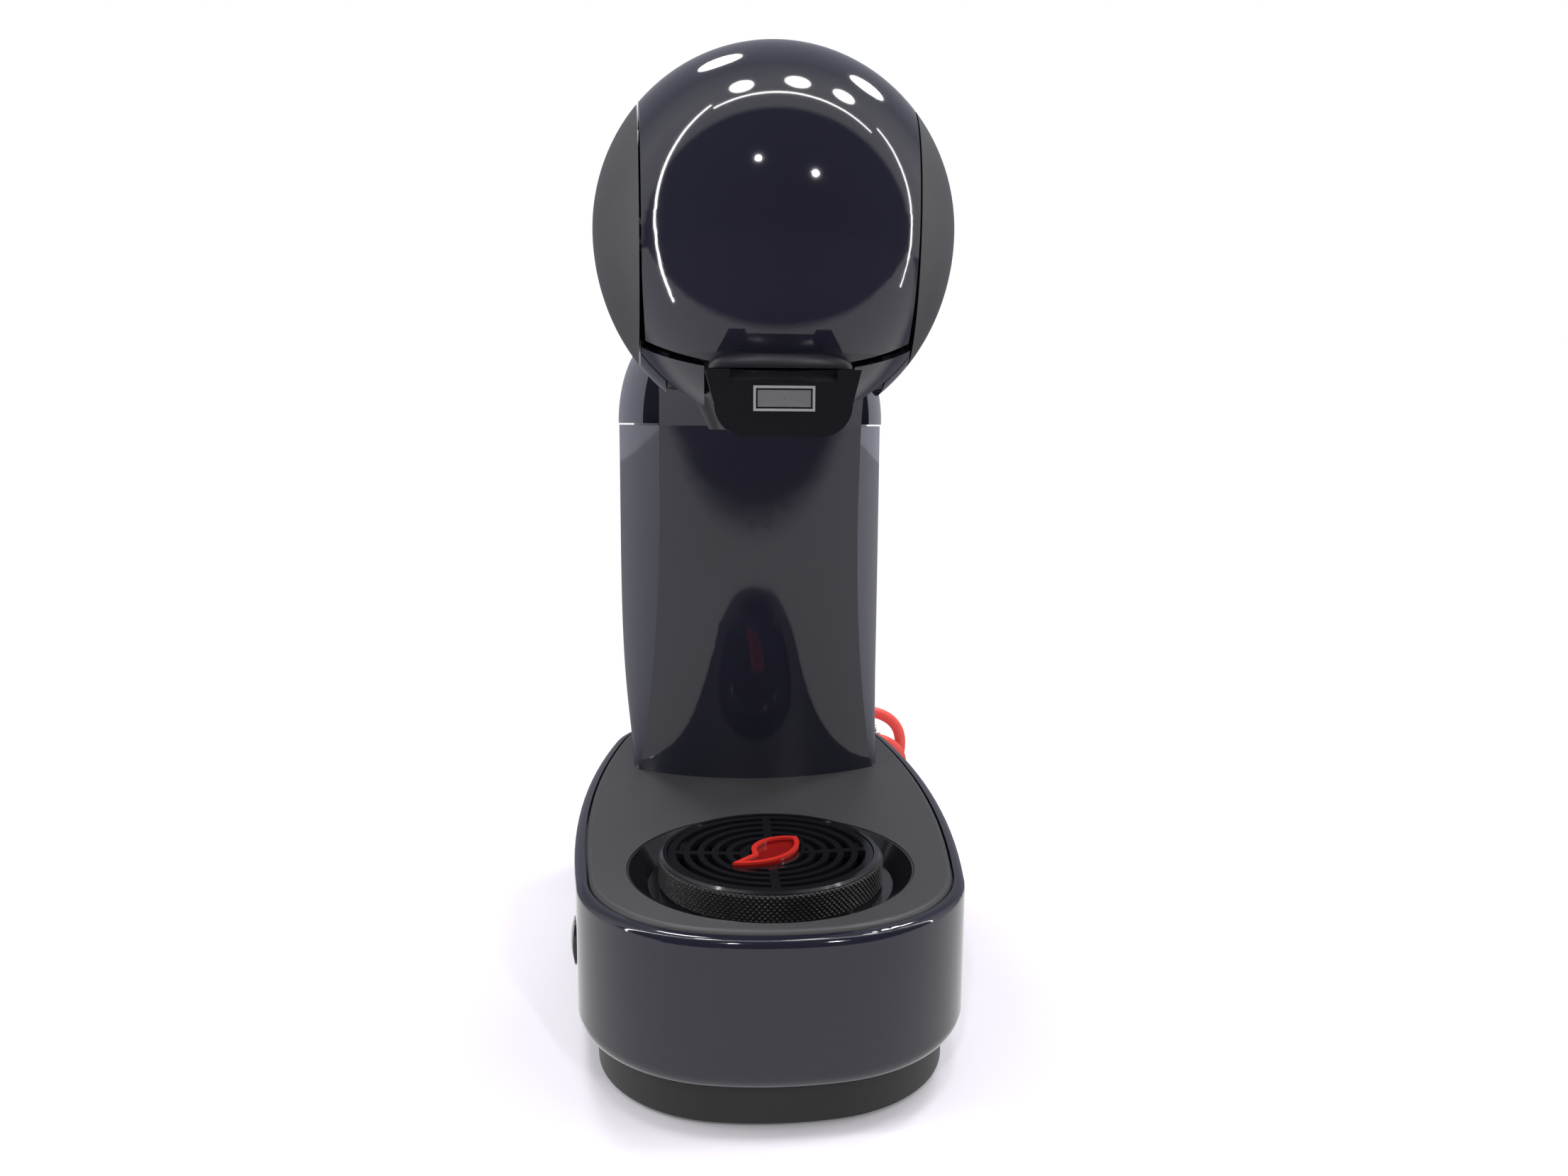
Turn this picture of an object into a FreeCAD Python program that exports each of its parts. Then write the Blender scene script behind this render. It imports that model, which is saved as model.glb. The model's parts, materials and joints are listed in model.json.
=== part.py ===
"""Pod coffee machine: a ball head on a slim column, a water tank behind and a drip tray in front.

Millimetres, +Z up. The origin is on the table, under the middle of the machine.
-Y is the front, where the cup stands, and +X is the right-hand side seen from there.
"""
import FreeCAD
import Part
import Sketcher
import math
import os
from FreeCAD import Placement, Rotation, Vector

DIMENSIONS = {
    # Base, seen from above: an oval of side arcs, corner arcs and end arcs.
    "base_half_width": 71.5,
    "base_half_depth": 135.0,
    "base_side_radius": 580.0,
    "base_end_radius": 120.0,
    "base_corner_radius": 54.0,
    "foot_height": 2.0,
    "foot_radius": 9.0,
    "foot_inset_x": 35.5,
    "foot_inset_y": 43.0,
    "plinth_inset": 6.8,
    "plinth_wall": 2.6,
    "skirt_bottom": 15.0,
    "skirt_top": 64.0,
    "skirt_wall": 3.6,
    "skirt_tuck": 6.0,
    "skirt_rim_round": 2.5,
    "flange_width": 18.0,
    "flange_height": 3.0,
    "ledge_width": 4.4,
    "ledge_height": 2.5,
    "deck_gap": 0.6,
    "deck_thickness": 4.5,
    "deck_rise": 1.0,
    "deck_round": 2.0,
    "screw_inset_x": 22.0,
    "screw_inset_y": 45.0,
    "screw_radius": 1.7,
    "screw_head_radius": 3.3,
    "post_radius": 5.0,
    # Drip tray, on the axis of the cup.
    "tray_setback": 59.0,
    "tray_radius": 37.5,
    "tray_top": 70.0,
    "tray_cup_radius": 33.8,
    "tray_floor": 30.0,
    "tray_wall": 2.4,
    "dish_radius": 48.8,
    "dish_depth": 6.0,
    "dish_floor_thickness": 2.0,
    "dish_flange": 1.6,
    "grid_thickness": 2.2,
    "grid_hollow": 1.4,
    "grid_slot": 2.6,
    "grid_bar": 2.2,
    "grid_spoke": 3.0,
    "grid_first_slot": 10.6,
    "float_travel": 3.0,
    "float_radius": 12.0,
    "leaf_length": 37.0,
    "leaf_width": 17.0,
    "leaf_rim": 1.7,
    # Power button on the left side of the skirt.
    "button_setback": 65.0,
    "button_z": 36.0,
    "button_height": 17.0,
    "button_width": 11.0,
    "button_proud": 1.6,
    "button_dome": 26.0,
    "button_travel": 2.5,
    # Column and tank.
    "column_foot_inset": 21.0,
    "column_top_half_width": 40.0,
    "shoulder_drop": 60.0,
    "column_foot_setback": 99.0,
    "column_lean": 28.0,
    "column_crown": 10.0,
    "wing_inset": 8.5,
    "wing_setback": 23.0,
    "wing_wall": 4.0,
    "shell_wall": 2.6,
    "bulkhead_setback": 87.0,
    "bulkhead_wall": 4.0,
    "tank_front_inset": 26.5,
    "tank_inset": 13.1,
    "tank_setback": 1.0,
    "tank_wall": 2.4,
    "tank_clearance": 0.6,
    "socket_setback": 55.0,
    "socket_radius": 13.6,
    "spigot_radius": 9.0,
    "lid_height": 42.0,
    "lid_gap": 0.8,
    "lid_lip": 7.0,
    # Head: a ball drawn down a little below its middle, with flat-sided parting planes.
    "head_radius": 57.0,
    "head_draw": 1.09,
    "head_offset": 1.0,
    "overall_height": 330.0,
    "head_wall": 2.6,
    "seam_half_width": 43.0,
    "seam_toe": 4.0,
    "seam_gap": 0.5,
    "mouth_front_drop": 43.9,
    "mouth_slope": 28.0,
    "mouth_gap": 1.2,
    "lip_half_width": 21.0,
    "lip_height": 6.0,
    "lip_reach": 5.5,
    "handle_back_angle": 100.0,
    "handle_travel": 62.0,
    "pin_radius": 5.0,
    "pin_clearance": 0.05,
    "arm_thickness": 2.4,
    "frame_half_width": 35.8,
    "frame_wall": 2.8,
    # Capsule holder.
    "holder_drop": 44.0,
    "holder_depth": 18.6,
    "holder_half_width": 22.0,
    "holder_setback": 3.5,
    "holder_corner": 9.0,
    "cheek_tilt": 5.5,
    "capsule_radius": 26.5,
    "capsule_foot_radius": 18.5,
    "holder_wall": 2.2,
    "runner_half_width": 31.0,
    "runner_height": 2.1,
    "runner_clearance": 0.3,
    "bell_radius": 28.4,
    "bell_height": 22.0,
    # Works inside.
    "pump_x": -28.0,
    "pump_z": 28.0,
    "pump_radius": 17.0,
    "heater_x": 28.0,
    "heater_width": 30.0,
    "heater_length": 60.0,
    "heater_height": 32.0,
    "hose_radius": 3.0,
    "valve_setback": 121.0,
    "valve_drop": 17.0,
    "valve_radius": 12.0,
    # Mains cord.
    "cord_radius": 3.2,
    "gland_z": 28.0,
}

doc = FreeCAD.newDocument("pod_coffee_machine")
sheet = doc.addObject("Spreadsheet::Sheet", "Sheet")


class Size:
    """A length that knows its number and the sheet formula it comes from."""

    def __init__(self, value, formula):
        self.value = float(value)
        self.formula = formula

    def __add__(self, other):
        return Size(self.value + number(other), f"({self.formula} + {formula(other)})")

    def __sub__(self, other):
        return Size(self.value - number(other), f"({self.formula} - {formula(other)})")

    def __mul__(self, other):
        return Size(self.value * number(other), f"({self.formula} * {formula(other)})")

    def __truediv__(self, other):
        return Size(self.value / number(other), f"({self.formula} / {formula(other)})")

    def __radd__(self, other):
        return Size(number(other) + self.value, f"({formula(other)} + {self.formula})")

    def __rsub__(self, other):
        return Size(number(other) - self.value, f"({formula(other)} - {self.formula})")

    def __rmul__(self, other):
        return self * other

    def __neg__(self):
        return Size(-self.value, f"(0 - {self.formula})")


def number(size):
    """The plain number of a Size or of a number."""
    return size.value if isinstance(size, Size) else float(size)


def formula(size):
    """The sheet formula of a Size or of a number."""
    return size.formula if isinstance(size, Size) else repr(float(size))


class Dimensions:
    """Every driving dimension, written to the sheet and kept as an attribute."""

    def __init__(self, table):
        for row, (name, value) in enumerate(table.items(), start=1):
            sheet.set(f"A{row}", name)
            sheet.set(f"B{row}", str(value))
            sheet.setAlias(f"B{row}", name)
            setattr(self, name, Size(value, f"Sheet.{name}"))


dim = Dimensions(DIMENSIONS)
doc.recompute()
nodes = []


def keep(obj, label):
    """Name a finished piece, so that it is written as a node."""
    obj.Label = label
    nodes.append(obj)
    return obj


def bind(obj, prop, size):
    """Tie one property to the sheet."""
    if isinstance(size, Size):
        obj.setExpression(prop, size.formula)
    else:
        setattr(obj, prop, size)


def place(obj, x, y, z, rotation=Rotation()):
    """Stand an object at a point whose coordinates may come from the sheet."""
    obj.Placement = Placement(Vector(number(x), number(y), number(z)), rotation)
    for axis, size in (("x", x), ("y", y), ("z", z)):
        if isinstance(size, Size):
            obj.setExpression(f"Placement.Base.{axis}", size.formula)
    return obj


def box(x, y, z):
    """A box between three pairs of coordinates."""
    obj = doc.addObject("Part::Box", "block")
    for prop, (low, high) in (("Length", x), ("Width", y), ("Height", z)):
        bind(obj, prop, high - low)
    return place(obj, x[0], y[0], z[0])


ALONG = {
    "X": Rotation(Vector(0, 0, 1), Vector(1, 0, 0)),
    "Y": Rotation(Vector(0, 0, 1), Vector(0, 1, 0)),
    "Z": Rotation(),
}


def rod(radius, length, x, y, z, along="Z"):
    """A cylinder that starts at a point and runs along an axis."""
    obj = doc.addObject("Part::Cylinder", "rod")
    bind(obj, "Radius", radius)
    bind(obj, "Height", length)
    return place(obj, x, y, z, ALONG[along])


def cone(foot_radius, top_radius, height, x, y, z):
    """A cone frustum that stands on a point."""
    obj = doc.addObject("Part::Cone", "cone")
    bind(obj, "Radius1", foot_radius)
    bind(obj, "Radius2", top_radius)
    bind(obj, "Height", height)
    return place(obj, x, y, z)


def ball(radius):
    """A ball at the middle of the head."""
    obj = doc.addObject("Part::Sphere", "ball")
    bind(obj, "Radius", radius)
    return place(obj, 0, dim.head_y, head_z)


def egg(radius):
    """The head's form: half a ball above its middle and half a longer ellipsoid below."""
    upper = doc.addObject("Part::Sphere", "upper")
    bind(upper, "Radius", radius)
    upper.Angle1 = 0
    lower = doc.addObject("Part::Ellipsoid", "lower")
    bind(lower, "Radius1", radius * dim.head_draw)
    bind(lower, "Radius2", radius)
    bind(lower, "Radius3", radius)
    lower.Angle2 = 0
    place(upper, 0, dim.head_y, head_z)
    place(lower, 0, dim.head_y, head_z)
    return fuse(upper, lower)


def solid(shape):
    """A piece whose form comes from a loft or a pipe."""
    obj = doc.addObject("Part::Feature", "form")
    obj.Shape = shape
    return obj


def fuse(*objects):
    """One solid, or a group of separate ones, out of several."""
    obj = doc.addObject("Part::MultiFuse", "joined")
    obj.Shapes = list(objects)
    obj.Refine = True
    return obj


def cut(base, *tools):
    """A piece with others taken away from it."""
    obj = doc.addObject("Part::Cut", "cut")
    obj.Base = base
    obj.Tool = tools[0] if len(tools) == 1 else fuse(*tools)
    obj.Refine = True
    return obj


def common(*objects):
    """What several pieces share."""
    obj = doc.addObject("Part::MultiCommon", "shared")
    obj.Shapes = list(objects)
    obj.Refine = True
    return obj


def copies(obj, places):
    """Separate copies of one piece, moved by the given offsets."""
    group = []
    for x, y in places:
        link = doc.addObject("Part::Compound", "copy")
        link.Links = [obj]
        group.append(place(link, x, y, 0))
    return group


def origin_plane(body, role):
    """One of a body's own origin planes."""
    return [feature for feature in body.Origin.OriginFeatures if feature.Role == role][0]


def profile_sketch(body, role, points):
    """A closed outline of straight lines, each corner tied to the sheet."""
    sketch = body.newObject("Sketcher::SketchObject", "profile")
    sketch.AttachmentSupport = [(origin_plane(body, role), "")]
    sketch.MapMode = "FlatFace"
    count = len(points)
    corners = [Vector(number(u), number(v), 0) for u, v in points]
    for i in range(count):
        sketch.addGeometry(Part.LineSegment(corners[i], corners[(i + 1) % count]), False)
    for i in range(count):
        sketch.addConstraint(Sketcher.Constraint("Coincident", i, 2, (i + 1) % count, 1))
    for i, (u, v) in enumerate(points):
        for kind, size in (("DistanceX", u), ("DistanceY", v)):
            index = sketch.addConstraint(Sketcher.Constraint(kind, -1, 1, i, 1, number(size)))
            if isinstance(size, Size):
                sketch.setExpression(f"Constraints[{index}]", size.formula)
    return sketch


def turned(points, x=0, y=0, z=0, rotation=Rotation()):
    """A body turned on its own upright axis from radius and height pairs."""
    body = doc.addObject("PartDesign::Body", "turned")
    sketch = profile_sketch(body, "XZ_Plane", points)
    spin = body.newObject("PartDesign::Revolution", "turning")
    spin.Profile = sketch
    spin.ReferenceAxis = (sketch, ["V_Axis"])
    spin.Angle = 360.0
    return place(body, x, y, z, rotation)


def outlined(role, points, length, x=0, y=0, z=0, midplane=False):
    """A body padded from a straight-sided outline."""
    body = doc.addObject("PartDesign::Body", "outlined")
    pad = body.newObject("PartDesign::Pad", "pad")
    pad.Profile = profile_sketch(body, role, points)
    bind(pad, "Length", length)
    pad.Midplane = midplane
    return place(body, x, y, z)


# Places that follow from the overall height and from the base's width and depth.
head_z = dim.overall_height - dim.head_radius
dim.column_top = head_z - dim.shoulder_drop
dim.holder_top = head_z - dim.holder_drop
dim.holder_bottom = dim.holder_top - dim.holder_depth
dim.valve_z = head_z - dim.valve_drop
dim.tray_y = dim.tray_setback - dim.base_half_depth
dim.head_y = dim.tray_y + dim.head_offset
dim.button_y = dim.button_setback - dim.base_half_depth
dim.holder_front = dim.base_half_depth - dim.holder_setback
dim.column_foot_y = dim.base_half_depth - dim.column_foot_setback
dim.bulkhead_y = dim.base_half_depth - dim.bulkhead_setback
dim.wing_end_y = dim.base_half_depth - dim.wing_setback
dim.tank_back = dim.base_half_depth - dim.tank_setback
dim.tank_socket_y = dim.base_half_depth - dim.socket_setback
dim.valve_y = dim.base_half_depth - dim.valve_setback
dim.foot_spread_x = dim.base_half_width - dim.foot_inset_x
dim.foot_spread_y = dim.base_half_depth - dim.foot_inset_y
dim.screw_spread_x = dim.base_half_width - dim.screw_inset_x
dim.screw_spread_y = dim.base_half_depth - dim.screw_inset_y
dim.column_bottom_half_width = dim.base_half_width - dim.column_foot_inset
dim.wing_half_width = dim.base_half_width - dim.wing_inset
dim.tank_front_half_width = dim.base_half_width - dim.tank_front_inset
dim.tank_half_width = dim.base_half_width - dim.tank_inset
head_middle = Vector(0, number(dim.head_y), number(head_z))


def oval_edges(inset):
    """The arcs of the base's oval, drawn in by an inset, counted from the right side."""
    width = number(dim.base_half_width)
    depth = number(dim.base_half_depth)
    side = number(dim.base_side_radius)
    end = number(dim.base_end_radius)
    corner = number(dim.base_corner_radius)
    inset = number(inset)
    # The corner's centre lies where it touches the side arc and the end arc from inside.
    side_centre = Vector(width - side, 0, 0)
    end_centre = Vector(0, depth - end, 0)
    apart = (end_centre - side_centre).Length
    along = ((side - corner) ** 2 - (end - corner) ** 2 + apart ** 2) / (2 * apart)
    across = math.sqrt((side - corner) ** 2 - along ** 2)
    toward = (end_centre - side_centre).normalize()
    centre = side_centre + toward * along + Vector(-toward.y, toward.x, 0) * across
    side_turn = math.atan2(centre.y, centre.x - side_centre.x)
    end_turn = math.atan2(centre.y - end_centre.y, centre.x)
    up = Vector(0, 0, 1)

    def arc(middle, radius, start, stop):
        return Part.ArcOfCircle(Part.Circle(middle, up, radius - inset), start, stop)

    half_turn = math.pi
    return [
        arc(side_centre, side, -side_turn, side_turn),
        arc(centre, corner, side_turn, end_turn),
        arc(end_centre, end, end_turn, half_turn - end_turn),
        arc(Vector(-centre.x, centre.y, 0), corner, half_turn - end_turn, half_turn - side_turn),
        arc(-side_centre, side, half_turn - side_turn, half_turn + side_turn),
        arc(-centre, corner, half_turn + side_turn, half_turn + end_turn),
        arc(-end_centre, end, half_turn + end_turn, 2 * half_turn - end_turn),
        arc(Vector(centre.x, -centre.y, 0), corner, 2 * half_turn - end_turn, 2 * half_turn - side_turn),
    ]


def oval_sketch(body, inset, z):
    """The base's oval as a sketch at a height."""
    sketch = body.newObject("Sketcher::SketchObject", "oval")
    sketch.AttachmentSupport = [(origin_plane(body, "XY_Plane"), "")]
    sketch.MapMode = "FlatFace"
    sketch.AttachmentOffset = Placement(Vector(0, 0, number(z)), Rotation())
    if isinstance(z, Size):
        sketch.setExpression("AttachmentOffset.Base.z", z.formula)
    for index, arc in enumerate(oval_edges(inset)):
        sketch.addGeometry(arc, False)
        sketch.addConstraint(Sketcher.Constraint("Block", index))
    return sketch


def oval_pad(body, inset, low, high):
    """Material between two heights of the oval."""
    pad = body.newObject("PartDesign::Pad", "pad")
    pad.Profile = oval_sketch(body, inset, low)
    bind(pad, "Length", high - low)
    return pad


def oval_pocket(body, inset, low, high):
    """A hollow between two heights of the oval."""
    pocket = body.newObject("PartDesign::Pocket", "pocket")
    pocket.Profile = oval_sketch(body, inset, high)
    bind(pocket, "Length", high - low)
    return pocket


def round_rim(body, feature, z, radius):
    """Round every edge of a feature that lies at one height."""
    doc.recompute()
    rim = []
    for index, edge in enumerate(feature.Shape.Edges, start=1):
        box_of_edge = edge.BoundBox
        if abs(box_of_edge.ZMin - number(z)) < 0.01 and abs(box_of_edge.ZMax - number(z)) < 0.01:
            rim.append(f"Edge{index}")
    fillet = body.newObject("PartDesign::Fillet", "rounding")
    fillet.Base = (feature, rim)
    bind(fillet, "Radius", radius)
    return fillet


def corners(x, y):
    """The four places at plus and minus two distances."""
    return [(x, y), (-x, y), (-x, -y), (x, -y)]


# The base: plinth, glossy skirt, matte deck, feet and screws.
skirt_flange_top = dim.skirt_bottom + dim.flange_height
deck_bottom = dim.skirt_top + dim.deck_rise - dim.deck_thickness
deck_top = dim.skirt_top + dim.deck_rise
plinth_floor = dim.foot_height + dim.plinth_wall
screw_seat = dim.skirt_bottom - 5
heater_foot = plinth_floor + 7.4
pump_front = dim.base_half_depth - 117
pump_back = pump_front + 78
heater_front = pump_front
heater_back = heater_front + dim.heater_length
board_y = dim.tray_y + 46
board_half_width = 34.0
board_thickness = 1.6
board_groove = 0.1
screw_places = corners(dim.screw_spread_x, dim.screw_spread_y)


def make_plinth():
    """The matte bottom pan, with screw posts and the ribs that carry the works."""
    body = doc.addObject("PartDesign::Body", "plinth")
    oval_pad(body, dim.plinth_inset, dim.foot_height, dim.skirt_bottom)
    oval_pocket(body, dim.plinth_inset + dim.plinth_wall, plinth_floor, dim.skirt_bottom)
    post = rod(dim.post_radius, dim.skirt_bottom - dim.foot_height, 0, 0, dim.foot_height)
    shank = rod(dim.screw_radius + 0.15, dim.skirt_bottom, 0, 0, 0)
    sink = rod(dim.screw_head_radius + 0.3, screw_seat, 0, 0, 0)
    rib_width = 4.0
    half = dim.heater_width / 2 - 4
    ribs = [
        box((dim.heater_x + side * half - rib_width / 2, dim.heater_x + side * half + rib_width / 2),
            (heater_front + 6, heater_back - 6), (plinth_floor, heater_foot))
        for side in (-1, 1)
    ]
    slots = [
        cut(box((side * board_half_width - 3, side * board_half_width + 3), (board_y - 3, board_y + 3),
                (plinth_floor, plinth_floor + 24)),
            box((-board_half_width, board_half_width),
                (board_y - board_thickness / 2 - board_groove, board_y + board_thickness / 2 + board_groove),
                (plinth_floor + 1.4, plinth_floor + 30)))
        for side in (-1, 1)
    ]
    whole = fuse(body, *copies(post, screw_places), *ribs, *slots)
    return cut(whole, *copies(fuse(shank, sink), screw_places))


button_turn = math.asin(number(dim.button_y) / number(dim.base_side_radius))
button_inward = Vector(math.cos(button_turn), -math.sin(button_turn), 0)
button_face = Vector(
    number(dim.base_side_radius) - number(dim.base_half_width)
    - number(dim.base_side_radius) * math.cos(button_turn),
    number(dim.button_y), number(dim.button_z))


button_depth = 8.0
switch_middle = button_face + button_inward * (button_depth + number(dim.button_travel) + 7.5)


def button_slab(grow, low, high):
    """An upright stadium on the skirt's left side, between two depths along its own inward normal."""
    half_width = number(dim.button_width) / 2 + grow
    half_run = number(dim.button_height) / 2 - number(dim.button_width) / 2
    side = Vector(-button_inward.y, button_inward.x, 0)
    up = Vector(0, 0, 1)
    start = button_face + button_inward * low
    right = start + side * half_width
    left = start - side * half_width
    top = up * half_run
    wire = Part.Wire([
        Part.LineSegment(right - top, right + top).toShape(),
        Part.Arc(right + top, start + top + up * half_width, left + top).toShape(),
        Part.LineSegment(left + top, left - top).toShape(),
        Part.Arc(left - top, start - top - up * half_width, right - top).toShape(),
    ])
    return Part.Face(wire).extrude(button_inward * (high - low))


def make_skirt():
    """The glossy wall: tucked in at the foot, with a flange below and a ledge for the deck."""
    body = doc.addObject("PartDesign::Body", "skirt")
    wall = oval_pad(body, 0, dim.skirt_bottom, dim.skirt_top)
    foot = round_rim(body, wall, dim.skirt_bottom, dim.skirt_tuck)
    round_rim(body, foot, dim.skirt_top, dim.skirt_rim_round)
    oval_pocket(body, dim.skirt_wall, deck_bottom, dim.skirt_top)
    oval_pocket(body, dim.skirt_wall + dim.ledge_width, dim.skirt_bottom, dim.skirt_top)
    oval_pocket(body, dim.skirt_wall, skirt_flange_top, deck_bottom - dim.ledge_height)
    flange = doc.addObject("PartDesign::Body", "flange")
    oval_pad(flange, dim.skirt_tuck + 1, dim.skirt_bottom, skirt_flange_top)
    oval_pocket(flange, dim.flange_width, dim.skirt_bottom, skirt_flange_top)
    shank = rod(dim.screw_radius + 0.15, skirt_flange_top, 0, 0, 0)
    gland_hole = rod(gland_radius + 0.15, dim.base_half_depth, 0, 0, dim.gland_z, "Y")
    window = solid(button_slab(0.35, -4.0, number(dim.skirt_wall) + 6.0))
    notch = box((switch_middle.x - 6.5, switch_middle.x + 14),
                (switch_middle.y - 8.5, switch_middle.y + 8.5),
                (dim.skirt_bottom - 1, skirt_flange_top + 1))
    return cut(fuse(body, flange), window, notch, gland_hole, *copies(shank, screw_places))


def make_deck():
    """The matte top plate, with holes for the dish, the hoses and the tank socket."""
    body = doc.addObject("PartDesign::Body", "deck")
    plate = oval_pad(body, dim.skirt_wall + dim.deck_gap, deck_bottom, deck_top)
    round_rim(body, plate, deck_top, dim.deck_round)
    dish_hole = rod(dim.dish_radius + 0.2, deck_top, 0, dim.tray_y, 0)
    hose_hole = box((-28, 28), (dim.column_foot_y - 8, dim.column_foot_y + 6),
                    (deck_bottom - 1, deck_top + 1))
    socket_hole = rod(dim.socket_radius + 0.2, deck_top + 1, 0, dim.tank_socket_y, 0)
    return cut(body, dish_hole, hose_hole, socket_hole)


gland_radius = dim.cord_radius + 2.8
foot = turned([(0, 0), (dim.foot_radius, 0), (dim.foot_radius, dim.foot_height), (0, dim.foot_height)])
screw = turned([
    (0, screw_seat - 2.4), (dim.screw_head_radius, screw_seat - 2.4), (dim.screw_head_radius, screw_seat),
    (dim.screw_radius, screw_seat), (dim.screw_radius, skirt_flange_top - 0.4), (0, skirt_flange_top - 0.4)])
keep(make_plinth(), "base_plinth")
keep(make_skirt(), "base_skirt")
keep(make_deck(), "base_deck")
keep(fuse(*copies(foot, corners(dim.foot_spread_x, dim.foot_spread_y))), "rubber_feet")
keep(fuse(*copies(screw, screw_places)), "base_screws")

# The drip tray: a dish let into the deck, a lift-out cup, a slotted grid and a level float.
dish_floor = deck_top - dim.dish_depth
dish_under = dish_floor - dim.dish_floor_thickness
tray_seat = dish_floor + 0.2
dish_bore = dim.tray_cup_radius + 0.8
grid_top = dim.tray_top - 0.4
grid_radius = dim.tray_radius - 2.5
grid_seat = grid_top - dim.grid_thickness
float_top = grid_seat - dim.grid_hollow - dim.float_travel - 0.4

keep(turned([
    (dish_bore, dish_under), (dim.dish_radius - 6, dish_under), (dim.dish_radius - 4, deck_bottom - 2),
    (dim.dish_radius + dim.dish_flange, deck_bottom - 2), (dim.dish_radius + dim.dish_flange, deck_bottom),
    (dim.dish_radius, deck_bottom), (dim.dish_radius, deck_top - 0.3),
    (dim.dish_radius - 0.6, deck_top - 0.3),
    (dim.dish_radius - 7, dish_floor), (dish_bore, dish_floor)], 0, dim.tray_y), "tray_dish")
keep(turned([
    (0, dim.tray_floor), (dim.tray_cup_radius - 2, dim.tray_floor),
    (dim.tray_cup_radius, dim.tray_floor + 2),
    (dim.tray_cup_radius, tray_seat), (dim.tray_radius, tray_seat), (dim.tray_radius, dim.tray_top - 0.8),
    (dim.tray_radius - 0.8, dim.tray_top), (grid_radius + 0.3, dim.tray_top),
    (grid_radius + 0.3, grid_seat - 0.2), (dim.tray_cup_radius - dim.tray_wall, grid_seat - 0.2),
    (dim.tray_cup_radius - dim.tray_wall, dim.tray_floor + dim.tray_wall),
    (0, dim.tray_floor + dim.tray_wall)], 0, dim.tray_y), "drip_tray")

leaf_turn = 44.0
slot_rings = 5


def leaf_wire(grow, z):
    """A leaf with two opposite tips, one side straight and then bowed, grown or shrunk evenly by an offset."""
    length = number(dim.leaf_length) / 2
    half = number(dim.leaf_width) / 2
    tip = Vector(-length, 0, 0)
    bend = Vector(-0.40 * length, 0.10 * half, 0)
    corner = Vector(0.80 * length, 0.16 * half, 0)
    wire = Part.Wire([
        Part.LineSegment(tip, bend).toShape(),
        Part.Arc(bend, Vector(0.34 * length, 0.90 * half, 0), corner).toShape(),
        Part.Arc(corner, Vector(-0.10 * length, -half, 0), tip).toShape()])
    if grow:
        wire = wire.makeOffset2D(grow)
    wire.rotate(Vector(), Vector(0, 0, 1), leaf_turn)
    wire.translate(Vector(0, number(dim.tray_y), number(z)))
    return wire


def leaf_slab(grow, low, high):
    """The leaf between two heights."""
    return Part.Face(leaf_wire(grow, low)).extrude(Vector(0, 0, number(high) - number(low)))


def make_grid():
    """A dished disc with rings of slots between four spokes, and a leaf-shaped hole for the float."""
    disc = turned([
        (0, grid_seat - dim.grid_hollow), (grid_radius, grid_seat), (grid_radius, grid_top),
        (0, grid_top - dim.grid_hollow)], 0, dim.tray_y)
    low = grid_seat - 6
    rings = []
    for ring in range(slot_rings):
        inner = dim.grid_first_slot + ring * (dim.grid_slot + dim.grid_bar)
        outer = rod(inner + dim.grid_slot, 12, 0, dim.tray_y, low)
        rings.append(cut(outer, rod(inner, 12, 0, dim.tray_y, low)))
    half = dim.grid_spoke / 2
    reach = dim.tray_radius
    spokes = fuse(
        box((-half, half), (dim.tray_y - reach, dim.tray_y + reach), (low, low + 12)),
        box((-reach, reach), (dim.tray_y - half, dim.tray_y + half), (low, low + 12)))
    land = solid(leaf_slab(2.2, low, low + 12))
    slotted = cut(disc, cut(fuse(*rings), spokes, land))
    return cut(slotted, solid(leaf_slab(0.5, low, low + 12)))


def make_float():
    """The red leaf with a raised rim, on a round float that stands on the tray's floor."""
    head = solid(leaf_slab(0.0, number(float_top) - 1, number(grid_top) + 0.7))
    hollow = solid(leaf_slab(-number(dim.leaf_rim), number(grid_top) - 0.9, number(grid_top) + 2))
    float_low = dim.tray_floor + dim.tray_wall + 0.2
    buoy = turned([
        (0, float_low), (4, float_low), (4, float_low + 8), (dim.float_radius, float_low + 12),
        (dim.float_radius, float_top), (0, float_top)], 0, dim.tray_y)
    return cut(fuse(head, buoy), hollow)


keep(make_grid(), "drip_grid")
keep(make_float(), "level_float")

# The power button, with its spring and the switch behind it.
button_flange = number(dim.skirt_wall) + 0.5
dome_middle = button_face + button_inward * (number(dim.button_dome) - number(dim.button_proud))
button_head = common(solid(button_slab(0.0, -number(dim.button_proud), button_depth)),
                     solid(Part.makeSphere(number(dim.button_dome), dome_middle)))
keep(fuse(button_head, solid(button_slab(1.6, button_flange, button_flange + 1.8))), "power_button")


def make_switch():
    """A small switch on a leg that stands on the plinth."""
    middle = switch_middle
    body = box((middle.x - 6, middle.x + 6), (middle.y - 8, middle.y + 8),
               (dim.button_z - 9, dim.button_z + 9))
    leg = box((middle.x, middle.x + 6), (middle.y - 5, middle.y + 5), (plinth_floor, dim.button_z - 8))
    foot = box((middle.x, middle.x + 12), (middle.y - 6, middle.y + 6), (plinth_floor, plinth_floor + 3))
    return fuse(body, leg, foot)


keep(make_switch(), "power_switch")


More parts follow.
